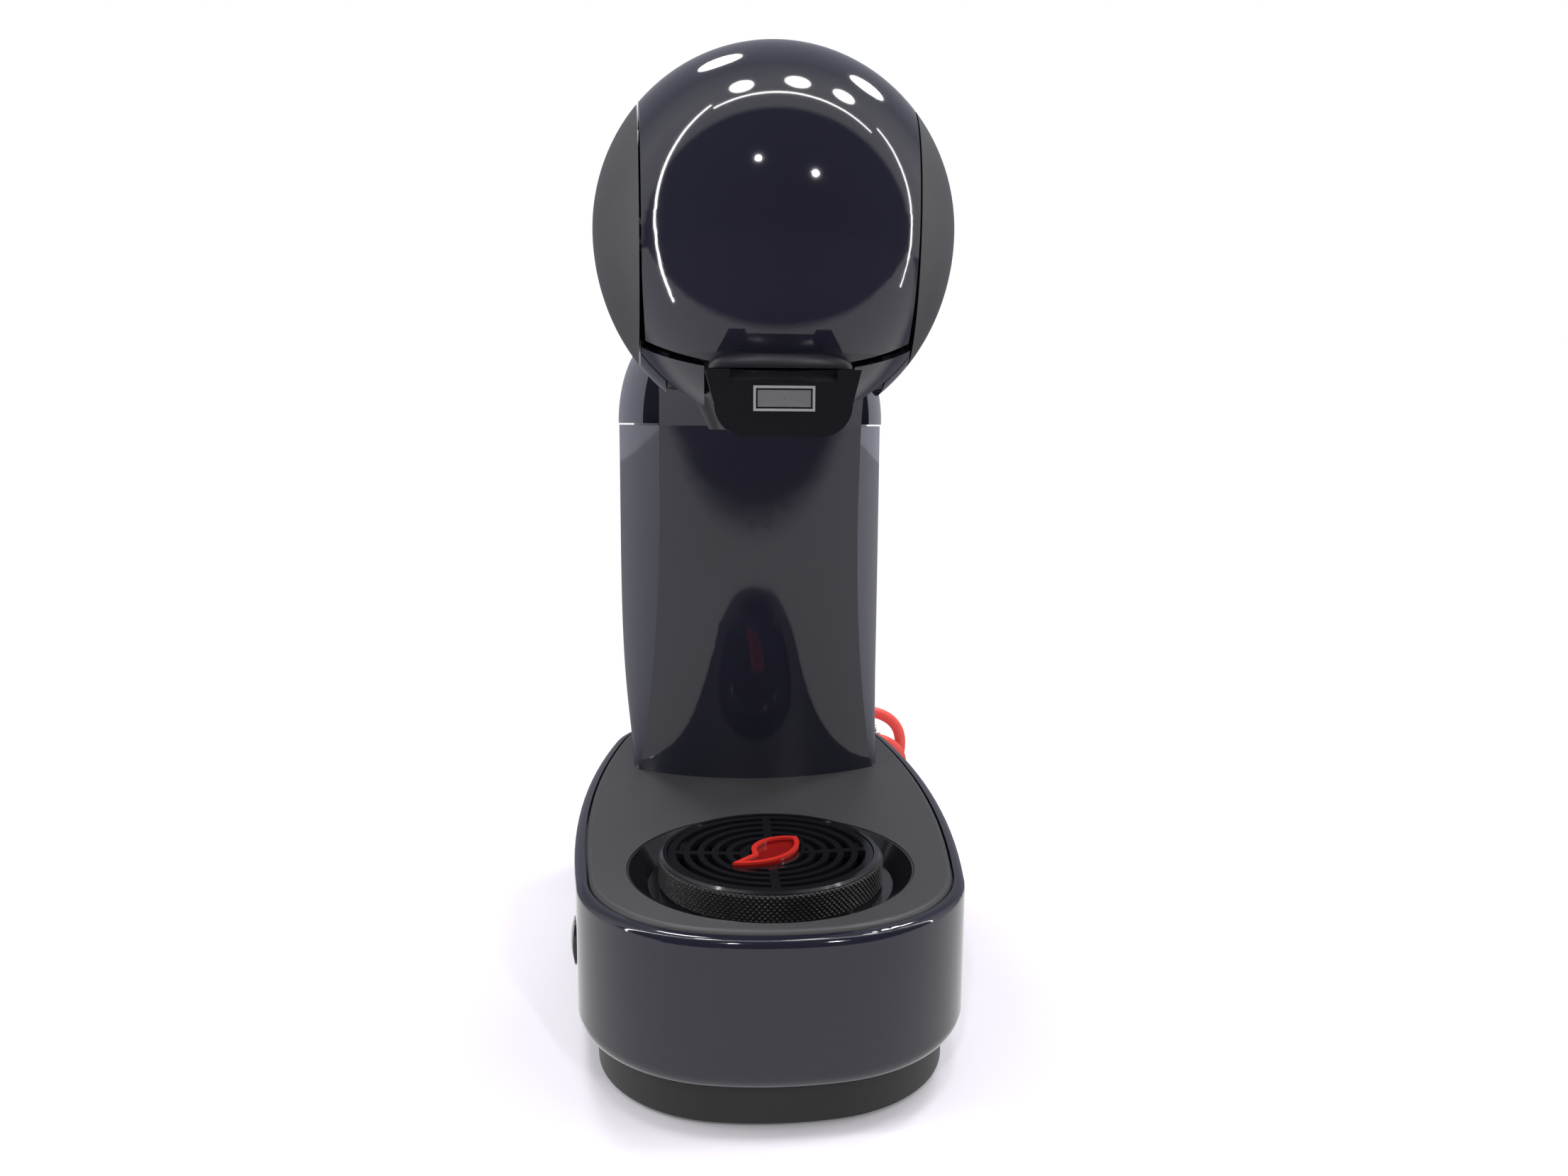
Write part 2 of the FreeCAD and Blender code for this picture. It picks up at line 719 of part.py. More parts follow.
# The column: a glossy front shell on a housing whose two wings hold the water tank between them.
LEVELS = (0.0, 0.04, 0.1, 0.2, 0.4, 0.7, 1.0)
column_rise = number(dim.column_top) - number(deck_top)
bay_front = dim.bulkhead_y + dim.bulkhead_wall
tank_front = bay_front + dim.tank_clearance
tank_side_end = dim.wing_end_y - 8
tank_bottom = deck_top + 0.3
tank_top = dim.column_top - 0.4
lid_bottom = dim.column_top + dim.lid_gap
neck_back = dim.bulkhead_y - 4


def swell(share):
    """How far the column has filled out at a share of its height: quickly above the foot, then steady."""
    return 1 - (1 - share) ** 6


def front_half_width(share):
    """Half the width of the column's front, flared towards the foot."""
    top = number(dim.column_top_half_width)
    return top + (number(dim.column_bottom_half_width) - top) * (1 - share) ** 2.4


def front_y(share):
    """Where the front's two edges stand: the column leans forward as it rises."""
    return number(dim.column_foot_y) - number(dim.column_lean) * share ** 1.3


def wing_half_width(share):
    """Half the width at the wings' back edges."""
    foot = number(dim.column_bottom_half_width) + 2
    return foot + (number(dim.wing_half_width) - foot) * swell(share)


def wing_end(share):
    """How far back the wings reach."""
    foot = number(dim.column_foot_y) + 8
    return foot + (number(dim.wing_end_y) - foot) * swell(share)


def level_z(share):
    """The height of a share of the column."""
    return number(deck_top) + column_rise * share


def line(start, stop):
    """A straight edge."""
    return Part.LineSegment(start, stop).toShape()


def arc(start, middle, stop):
    """An arc through three points."""
    return Part.Arc(start, middle, stop).toShape()


def flank_section(z, front, front_width, back, back_width, bulge=1.5):
    """A section with a straight front and back and two gently bowed flanks."""
    right_front = Vector(front_width, front, z)
    right_back = Vector(back_width, back, z)
    middle = (right_front + right_back) * 0.5 + Vector(bulge, 0, 0)
    left_front = Vector(-front_width, front, z)
    left_back = Vector(-back_width, back, z)
    left_middle = Vector(-middle.x, middle.y, z)
    return Part.Wire([
        line(left_front, right_front), arc(right_front, middle, right_back),
        line(right_back, left_back), arc(left_back, left_middle, left_front)])


def tank_section(z, front, front_width, side_end, side_width, back):
    """A section with a straight front, bowed flanks and a round back."""
    right_front = Vector(front_width, front, z)
    right_end = Vector(side_width, side_end, z)
    middle = (right_front + right_end) * 0.5 + Vector(1.5, 0, 0)
    left_front = Vector(-front_width, front, z)
    left_end = Vector(-side_width, side_end, z)
    left_middle = Vector(-middle.x, middle.y, z)
    return Part.Wire([
        line(left_front, right_front), arc(right_front, middle, right_end),
        arc(right_end, Vector(0, back, z), left_end), arc(left_end, left_middle, left_front)])


def shell_section(z, half_width, edge_y, crown):
    """A bowed plate: a front arc, a back arc and two straight ends on the column's edges."""
    wall = number(dim.shell_wall)
    lip = wall * 1.6
    right = Vector(half_width, edge_y, z)
    left = Vector(-half_width, edge_y, z)
    right_in = Vector(half_width - lip, edge_y, z)
    left_in = Vector(-half_width + lip, edge_y, z)
    return Part.Wire([
        arc(left, Vector(0, edge_y - crown, z), right), line(right, right_in),
        arc(right_in, Vector(0, edge_y - crown + wall, z), left_in), line(left_in, left)])


NECK_RISE = (15.0, 28.0)
NECK_REACH = (11.0, 28.0)


def neck_levels():
    """Heights, half-widths and edge places where the front shell sweeps forward under the head."""
    top_y = front_y(1.0)
    width = number(dim.column_top_half_width)
    return [(number(dim.column_top) + rise, width - 0.5 * step, top_y - reach)
            for step, (rise, reach) in enumerate(zip(NECK_RISE, NECK_REACH), start=1)]


def make_front_shell():
    """The bowed glossy front, from the deck up to the ball of the head."""
    crown = number(dim.column_crown)
    foot_crown = crown * 0.5
    joint_gap = 0.4
    sections = [
        shell_section(level_z(share), front_half_width(share), front_y(share) - joint_gap,
                      crown + foot_crown * (1 - share) ** 4)
        for share in LEVELS]
    neck = sections[-1:]
    neck += [shell_section(z, width, edge_y - joint_gap, crown) for z, width, edge_y in neck_levels()]
    return cut(fuse(solid(Part.makeLoft(sections, True)), solid(Part.makeLoft(neck, True))),
               egg(dim.head_radius + 0.3))


def make_housing():
    """Two flared wings joined by a bulkhead, open in front for the hoses and behind for the tank."""
    outer = Part.makeLoft([
        flank_section(level_z(share), front_y(share), front_half_width(share), wing_end(share),
                      wing_half_width(share)) for share in LEVELS], True)
    wall = number(dim.wing_wall)
    bulkhead = number(dim.bulkhead_y)
    hollow = []
    for share in LEVELS:
        front = front_y(share)
        back = min(bulkhead, wing_end(share) - wall)
        slope = (wing_half_width(share) - front_half_width(share)) / (wing_end(share) - front)
        z = level_z(share)
        if share in (0.0, 1.0):
            z += 2.0 * share - 1.0
        hollow.append(flank_section(z, front - 1, front_half_width(share) - wall, back,
                                    front_half_width(share) - wall + slope * (back - front), 0.8))
    bay = Part.makeLoft(tank_sections(number(dim.tank_clearance), 1.5), True)
    return cut(solid(outer), solid(Part.makeLoft(hollow, True)), solid(bay))


def tank_sections(grow, overrun):
    """The tank's outline at each level, grown by a clearance and run past both ends."""
    bottom = number(tank_bottom)
    rise = number(tank_top) - bottom
    sections = []
    for share in LEVELS:
        z = bottom + rise * share
        if share in (0.0, 1.0):
            z += overrun * (2.0 * share - 1.0)
        foot_width = number(dim.tank_half_width) - 8.4
        width = foot_width + 8.4 * swell(share)
        back = number(dim.tank_back) - 22 + 22 * swell(share)
        sections.append(tank_section(z, number(tank_front) - grow, number(dim.tank_front_half_width) + grow,
                                     number(tank_side_end), width + grow, back + grow))
    return sections


def make_tank():
    """The removable water tank, open at the top, with an outlet spigot below."""
    inside = Part.makeLoft(tank_sections(-number(dim.tank_wall), -number(dim.tank_wall)), True)
    mouth = Part.Face(tank_sections(-number(dim.tank_wall), 0.0)[-1]).extrude(Vector(0, 0, 8))
    mouth.translate(Vector(0, 0, -4))
    spigot = rod(dim.spigot_radius, 12, 0, dim.tank_socket_y, tank_bottom - 9)
    bore = rod(dim.spigot_radius - 2.2, 16, 0, dim.tank_socket_y, tank_bottom - 10)
    return cut(fuse(solid(Part.makeLoft(tank_sections(0.0, 0.0), True)), spigot),
               solid(inside), solid(mouth), bore)


LID_ANGLES = (0, 22, 42, 58, 70, 79)


def lid_sections(inset, lower):
    """The lid's outline on its way up: a quarter of an ellipse seen from the front."""
    front = number(neck_back) + number(dim.lid_gap) + inset
    drawn_in = 21.0
    sections = []
    for angle in LID_ANGLES:
        turn = math.radians(angle)
        shrink = inset + drawn_in * (1 - math.cos(turn))
        z = number(lid_bottom) + (number(dim.lid_height) - lower) * math.sin(turn)
        width = number(dim.wing_half_width) - shrink
        front_width = number(dim.tank_front_half_width) + 3.2 - shrink
        sections.append(tank_section(z, front, front_width, number(dim.wing_end_y) - 4, width,
                                     number(dim.tank_back) + 0.6 - shrink))
    return sections


def make_lid():
    """The domed lid, hollow, with a lip that drops into the tank."""
    wall = number(dim.tank_wall)
    dome = Part.makeLoft(lid_sections(0.0, 0.0), True)
    hollow = Part.makeLoft(lid_sections(wall, wall), True)
    under = Part.Face(lid_sections(wall, wall)[0]).extrude(Vector(0, 0, -2))
    lip_wire = tank_sections(-wall - 0.5, 0.0)[-1]
    lip_inner = tank_sections(-wall - 2.3, 0.0)[-1]
    rise = Vector(0, 0, number(dim.lid_lip) + 3.0)
    lip = Part.Face(lip_wire).extrude(rise).cut(Part.Face(lip_inner).extrude(rise))
    lip.translate(Vector(0, 0, -number(dim.lid_lip)))
    rim_outer = Part.Face(lid_sections(wall - 0.1, wall)[0])
    rim_height = Vector(0, 0, 2.0)
    rim = rim_outer.extrude(rim_height).cut(Part.Face(lip_inner).extrude(Vector(0, 0, 60)))
    return fuse(solid(dome.cut(hollow.fuse(under))), solid(lip), solid(rim))


def make_neck():
    """The hollow arm that carries the head, with a web for the selector valve and a slot for its lever."""
    top_y = front_y(1.0)
    levels = neck_levels()
    half_width = number(dim.column_top_half_width) - 1.0
    foot = number(dim.column_top)
    back = number(neck_back)
    head_back = number(dim.head_y) + number(dim.head_radius) + 2
    crest_y = head_back
    shell_top = levels[1][0] + 0.4
    outline = [(back, foot), (back, foot + 43), (back - 32, foot + 67), (crest_y, foot + 71),
               (head_back - 34, foot + 49), (head_back - 20, shell_top)]
    set_back = 1.8
    outline += [(levels[1][2] + set_back, shell_top), (levels[0][2] + set_back, levels[0][0]),
                (top_y + set_back, foot)]
    body = doc.addObject("PartDesign::Body", "neck")
    pad = body.newObject("PartDesign::Pad", "pad")
    pad.Profile = profile_sketch(body, "YZ_Plane", outline)
    pad.Length = 2 * half_width
    pad.Midplane = True
    doc.recompute()
    shoulder = []
    crest = [f"Edge{index}" for index, edge in enumerate(pad.Shape.Edges, start=1)
             if edge.BoundBox.XLength > half_width and edge.BoundBox.ZMin > foot + 60
             and edge.BoundBox.YMin > crest_y - 4]
    bend = body.newObject("PartDesign::Fillet", "crest")
    bend.Base = (pad, crest)
    bend.Radius = 24.0
    doc.recompute()
    for index, edge in enumerate(bend.Shape.Edges, start=1):
        middle = edge.BoundBox.Center
        if edge.BoundBox.XLength < 0.01 and middle.z > foot + 44 and crest_y - 29 < middle.y < back - 1:
            shoulder.append(f"Edge{index}")
    fillet = body.newObject("PartDesign::Fillet", "shoulder")
    fillet.Base = (bend, shoulder)
    fillet.Radius = 9.0
    wall = number(dim.shell_wall)
    web = number(dim.valve_y) - 10
    inside_rear = [(back - wall, foot - 1), (back - wall, foot + 41), (back - 33, foot + 67 - wall - 1),
                   (web, foot + 67 - wall - 1), (web, foot - 1)]
    inside_front = [(web - 4, foot + 66 - wall), (head_back - 14, foot + 62),
                    (head_back - 14, levels[1][0] + 3),
                    (web - 4, levels[0][0])]
    rear = outlined("YZ_Plane", inside_rear, 2 * half_width - 8, midplane=True)
    front = outlined("YZ_Plane", inside_front, 2 * half_width - 8, midplane=True)
    hose = rod(dim.hose_radius + 0.4, 30, 0, web - 20, dim.valve_z, "Y")
    slot = box((-15, 15), (lever_y - 3.2, lever_y + 3.2), (foot + 40, foot + 80))
    return cut(body, egg(dim.head_radius + 0.3), rear, front, hose, slot)


lever_y = dim.valve_y + 13.0
keep(make_front_shell(), "column_front_shell")
keep(make_housing(), "column_housing")
keep(make_neck(), "neck_arm")
keep(make_tank(), "water_tank")
keep(make_lid(), "tank_lid")

# The tank's outlet valve and the socket that it plugs into.
poppet_low = tank_bottom - 5.4
keep(turned([
    (0, poppet_low), (5.8, poppet_low), (5.8, poppet_low + 2), (2, poppet_low + 2), (2, poppet_low + 14),
    (0, poppet_low + 14)], 0, dim.tank_socket_y), "tank_valve")
socket_low = deck_top - 17
pin_top = poppet_low - 0.3
keep(turned([
    (0, socket_low), (dim.socket_radius, socket_low), (dim.socket_radius, deck_bottom - 1.6),
    (dim.socket_radius + 2.6, deck_bottom - 1.6), (dim.socket_radius + 2.6, deck_bottom),
    (dim.socket_radius, deck_bottom), (dim.socket_radius, deck_top - 0.4),
    (dim.spigot_radius + 2.4, deck_top - 0.4), (dim.spigot_radius + 2.4, deck_top - 6),
    (dim.spigot_radius + 0.4, deck_top - 6), (dim.spigot_radius + 0.4, socket_low + 4),
    (2.4, socket_low + 4), (1.6, pin_top), (0, pin_top)], 0, dim.tank_socket_y), "tank_socket")
keep(turned([
    (dim.spigot_radius + 0.3, deck_top - 6), (dim.spigot_radius + 2.4, deck_top - 6),
    (dim.spigot_radius + 2.4, deck_top - 2), (dim.spigot_radius + 0.3, deck_top - 2)],
    0, dim.tank_socket_y), "socket_seal")

# The head: ball shells parted by two toed-in side planes and by the slanting mouth.
toe = math.radians(number(dim.seam_toe))
slope = math.radians(number(dim.mouth_slope))
mouth_drop = number(dim.mouth_front_drop)
mouth_reach = math.sqrt(number(dim.head_radius) ** 2 - (mouth_drop / number(dim.head_draw)) ** 2)
mouth_point = head_middle + Vector(0, -mouth_reach, -mouth_drop)
mouth_up = Vector(0, -math.sin(slope), math.cos(slope))
shell_inside = dim.head_radius - dim.head_wall
front_split = dim.head_y - 18.0


def beyond(point, normal):
    """Everything on one side of a plane, as a large block."""
    size = 300.0
    turn = Rotation(Vector(0, 0, 1), normal)
    obj = doc.addObject("Part::Box", "side")
    obj.Length = size
    obj.Width = size
    obj.Height = size
    obj.Placement = Placement(point + turn.multVec(Vector(-size / 2, -size / 2, 0)), turn)
    return obj


def seam(side, gap, outward):
    """The space outside or inside one side plane of the head, held off by a gap."""
    normal = Vector(side * math.cos(toe), -math.sin(toe), 0)
    point = Vector(side * number(dim.seam_half_width), number(dim.head_y), number(head_z))
    if outward:
        return beyond(point + normal * gap, normal)
    return beyond(point - normal * gap, -normal)


def band(gap):
    """The space between the head's two side planes."""
    return [seam(-1, gap, False), seam(1, gap, False)]


def swing_room(gap):
    """The space that keeps clear of the side planes on the panel's whole way up."""
    room = band(gap)
    for angle in range(15, 61, 15):
        turn = Rotation(Vector(1, 0, 0), angle)
        for side in (-1, 1):
            normal = turn.multVec(Vector(side * math.cos(toe), -math.sin(toe), 0))
            point = head_middle + Vector(side * number(dim.seam_half_width), 0, 0)
            room.append(beyond(point - normal * gap, -normal))
    return room


def sweep(angle):
    """The way a point moves as it turns up and back about the head's axis, from an angle above the front."""
    turn = math.radians(angle)
    return Vector(0, math.sin(turn), math.cos(turn))


def ball_shell():
    """The head's outer skin, whole and hollow."""
    return cut(egg(dim.head_radius), egg(shell_inside))


def mirrored(side, low, high):
    """A pair of X coordinates on one side of the machine, lowest first."""
    return (low, high) if side > 0 else (-high, -low)


def make_cap(side):
    """A matte side cap, with an inner boss that holds the hinge pin."""
    gap = number(dim.seam_gap) / 2
    x = mirrored(side, 46.0, 56.5)
    boss = common(rod(dim.pin_radius + 3, x[1] - x[0], x[0], dim.head_y, head_z, "X"), ball(dim.head_radius))
    skin = common(ball_shell(), seam(side, gap, True))
    pin = mirrored(side, 44.0, pin_end)
    return cut(fuse(skin, boss), rod(dim.pin_radius, pin[1] - pin[0], pin[0], dim.head_y, head_z, "X"))


pin_end = 50.0
arm_end = 28.0
rear_start = arm_end + number(dim.handle_travel) + 3
handle_inner = dim.frame_half_width + 0.6
handle_outer = handle_inner + dim.arm_thickness


def make_handle():
    """The glossy front panel, with a thumb lip in the middle of its lower edge."""
    gap = number(dim.seam_gap) / 2
    skin = common(ball_shell(), *swing_room(gap + 0.1),
                  beyond(mouth_point + mouth_up * number(dim.mouth_gap), mouth_up),
                  beyond(head_middle, -sweep(number(dim.handle_back_angle))))
    lip_place = mouth_point + mouth_up * number(dim.mouth_gap) + Vector(0, 1.5, 0)
    lip = doc.addObject("Part::Ellipsoid", "lip")
    bind(lip, "Radius1", dim.lip_height)
    bind(lip, "Radius2", dim.lip_half_width)
    bind(lip, "Radius3", dim.lip_reach)
    lip.Placement = Placement(lip_place, Rotation(Vector(0, 0, 1), mouth_up))
    upper = common(lip, beyond(Vector(0, 0, number(dim.holder_top) + 0.8), Vector(0, 0, 1)))
    return fuse(skin, cut(upper, egg(shell_inside)))


def make_arm(side):
    """A web between the panel and a hub on the hinge pin."""
    x = mirrored(side, handle_inner, handle_outer)
    slab = box(x, (dim.head_y - 80, dim.head_y + 80), (head_z - 80, head_z + 80))
    web = common(slab, ball(shell_inside), beyond(head_middle, sweep(-14)),
                 beyond(head_middle, -sweep(arm_end)))
    hub = rod(dim.pin_radius + 5, dim.arm_thickness, x[0], dim.head_y, head_z, "X")
    bore = rod(dim.pin_radius + dim.pin_clearance, dim.arm_thickness + 2, x[0] - 1, dim.head_y, head_z, "X")
    return cut(fuse(web, hub), bore)


def make_pins():
    """Two hinge pins, each held in the frame and in a side cap."""
    pair = []
    for side in (-1, 1):
        x = mirrored(side, dim.frame_half_width - dim.frame_wall, pin_end)
        pair.append(rod(dim.pin_radius, x[1] - x[0], x[0], dim.head_y, head_z, "X"))
    return fuse(*pair)


guide_top = dim.holder_top + 3
guide_front = dim.head_y - 17
guide_half_width = dim.runner_half_width + 2.5
guide_back = dim.tray_y + dim.capsule_radius + dim.holder_wall + 0.8


def make_chin():
    """The fixed glossy shell under and behind the mouth."""
    skin = common(ball_shell(), *band(number(dim.seam_gap) / 2),
                  beyond(mouth_point - mouth_up * 0.3, -mouth_up),
                  beyond(Vector(0, number(front_split) + 0.8, number(head_z)), Vector(0, 1, 0)))
    channel = box((-guide_half_width - 0.5, guide_half_width + 0.5), (dim.head_y - 60, dim.head_y + 60),
                  (head_z - 80, guide_top + 0.3))
    hose = rod(dim.hose_radius + 0.4, 60, 0, dim.head_y, dim.valve_z, "Y")
    return cut(skin, channel, hose)


rear_radius = shell_inside - 0.8


def make_rear_shell():
    """The inner band that the front panel slides over when it opens."""
    skin = cut(ball(rear_radius), ball(rear_radius - 2.6))
    return common(skin, *band(number(dim.seam_gap)), beyond(head_middle, sweep(rear_start)),
                  beyond(mouth_point + mouth_up * 0.3, mouth_up))


def make_frame():
    """Two side plates with pin holes, tied by a beam and by a block that bears on the chin shell."""
    inner = dim.frame_half_width - dim.frame_wall
    inside = rear_radius - 2.6
    y = (dim.head_y - 25, dim.head_y + 33)
    height = (guide_top, head_z + 18)
    plates = [common(box(mirrored(side, inner, dim.frame_half_width), y, height), ball(inside))
              for side in (-1, 1)]
    beam = common(box((-dim.frame_half_width, dim.frame_half_width), (dim.head_y + 29, dim.head_y + 37),
                      (head_z - 4, head_z + 18)), ball(inside))
    block = common(box((-dim.frame_half_width, dim.frame_half_width), (dim.head_y + 29, dim.head_y + 60),
                       (head_z - 29, head_z - 4)), ball(inside))
    foot = common(box((-26, 26), (dim.head_y + 40, dim.head_y + 60), (head_z - 29, head_z - 8)),
                  ball(shell_inside), beyond(mouth_point - mouth_up * 0.3, -mouth_up))
    pins = rod(dim.pin_radius, 90, -45, dim.head_y, head_z, "X")
    hose = rod(dim.hose_radius + 0.1, 40, 0, dim.head_y + 33, dim.valve_z, "Y")
    return cut(fuse(*plates, beam, block, foot), pins, hose)


def make_guide():
    """The channel under the head that the capsule holder's runners slide in."""
    clear = dim.runner_clearance
    block = box((-guide_half_width, guide_half_width), (guide_front, guide_back + 8),
                (guide_top - 7, guide_top))
    channel = box((-dim.runner_half_width + 1.5, dim.runner_half_width - 1.5), (guide_front - 1, guide_back),
                  (guide_top - 20, guide_top + 1))
    groove = box((-dim.runner_half_width - clear, dim.runner_half_width + clear),
                 (guide_front - 1, guide_back),
                 (dim.holder_top - dim.runner_height - clear, dim.holder_top + clear))
    return common(cut(block, channel, groove), egg(dim.head_radius - 0.2))


def make_grip():
    """The holder's black front: a bowed tongue with round lower corners and a scoop for the finger."""
    half = number(dim.holder_half_width)
    low = number(dim.holder_bottom)
    high = number(dim.holder_top)
    radius = number(dim.holder_corner)
    front = -number(dim.holder_front)
    diagonal = radius * (1 - math.sqrt(0.5))
    taper = 2.5
    floor = half - taper
    section = Part.Wire([
        line(Vector(half, front, high), Vector(-half, front, high)),
        line(Vector(-half, front, high), Vector(-floor, front, low + radius)),
        arc(Vector(-floor, front, low + radius), Vector(-floor + diagonal, front, low + diagonal),
            Vector(-floor + radius, front, low)),
        line(Vector(-floor + radius, front, low), Vector(floor - radius, front, low)),
        arc(Vector(floor - radius, front, low), Vector(floor - diagonal, front, low + diagonal),
            Vector(floor, front, low + radius)),
        line(Vector(floor, front, low + radius), Vector(half, front, high))])
    tongue = solid(Part.Face(section).extrude(Vector(0, 30, 0)))
    bow_radius = 65.5
    bow = rod(bow_radius, 60, 0, bow_radius - dim.holder_front, dim.holder_bottom - 20)
    scoop = rod(20, 30, -15, -dim.holder_front, dim.holder_top + 16.5, "X")
    return cut(common(tongue, bow), scoop)


def make_holder():
    """The sliding capsule holder: runners, a tapered cup with an outlet, a front web and the grip."""
    plate = common(box((-dim.runner_half_width, dim.runner_half_width), (front_split, guide_back - 1),
                       (dim.holder_top - dim.runner_height, dim.holder_top)), egg(dim.head_radius))
    depth = dim.holder_top - dim.holder_bottom - 1.6
    cup = cone(dim.capsule_foot_radius + dim.holder_wall, dim.capsule_radius + dim.holder_wall, depth,
               0, dim.tray_y, dim.holder_bottom + 1.6)
    hollow = cone(dim.capsule_foot_radius, dim.capsule_radius, depth - dim.holder_wall + 0.05,
                  0, dim.tray_y, dim.holder_bottom + 1.6 + dim.holder_wall)
    outlet = rod(5.0, 10, 0, dim.tray_y, dim.holder_bottom)
    web = common(box((-36, 36), (front_split - 4, front_split + 0.4),
                     (dim.holder_bottom + 8, dim.holder_top)),
                 egg(shell_inside), beyond(mouth_point - mouth_up * 0.5, -mouth_up))
    return cut(fuse(plate, cup, web, make_grip()), hollow, outlet)


def make_cheek(side):
    """A glossy cheek beside the grip, cut from the head's ball."""
    tilt = slope - math.radians(number(dim.cheek_tilt))
    down = Vector(0, math.sin(tilt), -math.cos(tilt))
    skin = common(ball_shell(), *band(number(dim.seam_gap)), beyond(mouth_point - mouth_up * 0.6, down),
                  beyond(Vector(0, number(front_split) - 0.3, number(head_z)), Vector(0, -1, 0)))
    x = mirrored(side, dim.holder_half_width + 0.2, 60)
    return common(skin, box(x, (dim.head_y - 80, dim.head_y + 80), (head_z - 80, head_z + 80)))


keep(make_cap(-1), "head_cap_left")
keep(make_cap(1), "head_cap_right")
keep(make_handle(), "locking_handle")
keep(make_arm(-1), "handle_arm_left")
keep(make_arm(1), "handle_arm_right")
keep(make_pins(), "handle_pins")
keep(make_chin(), "chin_shell")
keep(make_rear_shell(), "head_rear_shell")
keep(make_frame(), "head_frame")
keep(make_guide(), "holder_guide")
keep(make_holder(), "capsule_holder")
keep(make_cheek(-1), "holder_cheek_left")
keep(make_cheek(1), "holder_cheek_right")

# The piercing bell that comes down on the capsule when the handle closes.
bell_low = dim.holder_top + 0.9
bell_top = bell_low + dim.bell_height
bell_inner = dim.bell_radius - 1.8


def make_bell():
    """A cup over the capsule, with two lugs that run along the frame."""
    cup = turned([
        (bell_inner, bell_low), (dim.bell_radius, bell_low), (dim.bell_radius, bell_top), (5, bell_top),
        (5, bell_top + 6), (1.8, bell_top + 6), (1.8, bell_top - 2.6), (bell_inner, bell_top - 2.6)],
        0, dim.tray_y)
    reach = dim.frame_half_width - dim.frame_wall - 0.3
    height = (bell_top - 12, bell_top - 2.6)
    lugs = [box(mirrored(side, bell_inner, reach), (dim.tray_y - 5, dim.tray_y + 5), height)
            for side in (-1, 1)]
    return cut(fuse(cup, *lugs), rod(bell_inner, dim.bell_height - 2.6, 0, dim.tray_y, bell_low))


keep(make_bell(), "piercing_bell")
keep(turned([
    (0, bell_top - 17), (1.7, bell_top - 13), (1.7, bell_top + 2), (0, bell_top + 2)], 0, dim.tray_y),
    "piercing_needle")
keep(turned([
    (bell_inner - 2.5, bell_low + 6), (bell_inner, bell_low + 6), (bell_inner, bell_low + 8.4),
    (bell_inner - 2.5, bell_low + 8.4)], 0, dim.tray_y), "capsule_seal")

# The works in the base: pump, heater, control board and the hoses between them.
pump_neck = 9.0
pump_spigot = 4.0


def make_pump():
    """A solenoid pump on its side: a coil between two necks, each with a hose spigot."""
    start = pump_front
    return fuse(
        rod(dim.pump_radius, pump_back - start - 28, dim.pump_x, start + 12, dim.pump_z, "Y"),
        rod(pump_neck, pump_back - start, dim.pump_x, start, dim.pump_z, "Y"),
        rod(pump_spigot, pump_back - start + 16, dim.pump_x, start - 8, dim.pump_z, "Y"))


def make_mounts():
    """Two rubber saddles under the pump's necks."""
    pair = []
    for y in (pump_front + 4, pump_back - 12):
        block = box((dim.pump_x - 13, dim.pump_x + 13), (y, y + 7), (plinth_floor, dim.pump_z))
        pair.append(cut(block, rod(pump_neck, 9, dim.pump_x, y - 1, dim.pump_z, "Y")))
    return fuse(*pair)


heater_left = dim.heater_x - dim.heater_width / 2
heater_top = heater_foot + dim.heater_height
heater_outlet_x = heater_left + 6
heater_outlet_y = heater_front + 14


def make_heater():
    """The cast heater block, with a spigot in front for cold water and one on top for hot."""
    block = box((heater_left, heater_left + dim.heater_width), (heater_front, heater_back),
                (heater_foot, heater_top))
    groove = box((dim.heater_x - 3, dim.heater_x + 3), (heater_front - 1, heater_back + 1),
                 (heater_top - 4, heater_top + 1))
    inlet = rod(pump_spigot, 10, dim.heater_x, heater_front - 8, dim.pump_z, "Y")
    outlet = rod(pump_spigot, 10, heater_outlet_x, heater_outlet_y, heater_top - 2)
    return fuse(cut(block, groove), inlet, outlet)


keep(make_pump(), "water_pump")
keep(make_mounts(), "pump_mounts")
keep(make_heater(), "heater_block")
keep(rod(7.0, 5.0, dim.heater_x + 10, heater_back - 20, heater_top), "thermostat")
board_low = plinth_floor + 1.4
board_top = board_low + 36
relay_face = board_y + board_thickness / 2
keep(fuse(
    box((-board_half_width, board_half_width), (board_y - board_thickness / 2, relay_face),
        (board_low, board_top)),
    box((-22, -6), (relay_face, relay_face + 14), (board_low + 16, board_top - 6)),
    box((4, 22), (relay_face, relay_face + 10), (board_low + 14, board_top - 10))), "control_board")


def route(points):
    """Straight runs joined by arcs that touch both neighbours, with the least bend radius."""
    edges = []
    least = math.inf
    start = points[0]
    for before, corner, after in zip(points, points[1:], points[2:]):
        come = corner - before
        leave = after - corner
        reach = 0.45 * min(come.Length, leave.Length)
        turn = come.getAngle(leave)
        come.normalize()
        leave.normalize()
        radius = reach / math.tan(turn / 2)
        least = min(least, radius)
        first = corner - come * reach
        last = corner + leave * reach
        bisector = (leave - come).normalize()
        middle = corner + bisector * (radius / math.cos(turn / 2) - radius)
        edges += [line(start, first), arc(first, middle, last)]
        start = last
    edges.append(line(start, points[-1]))
    return edges, least


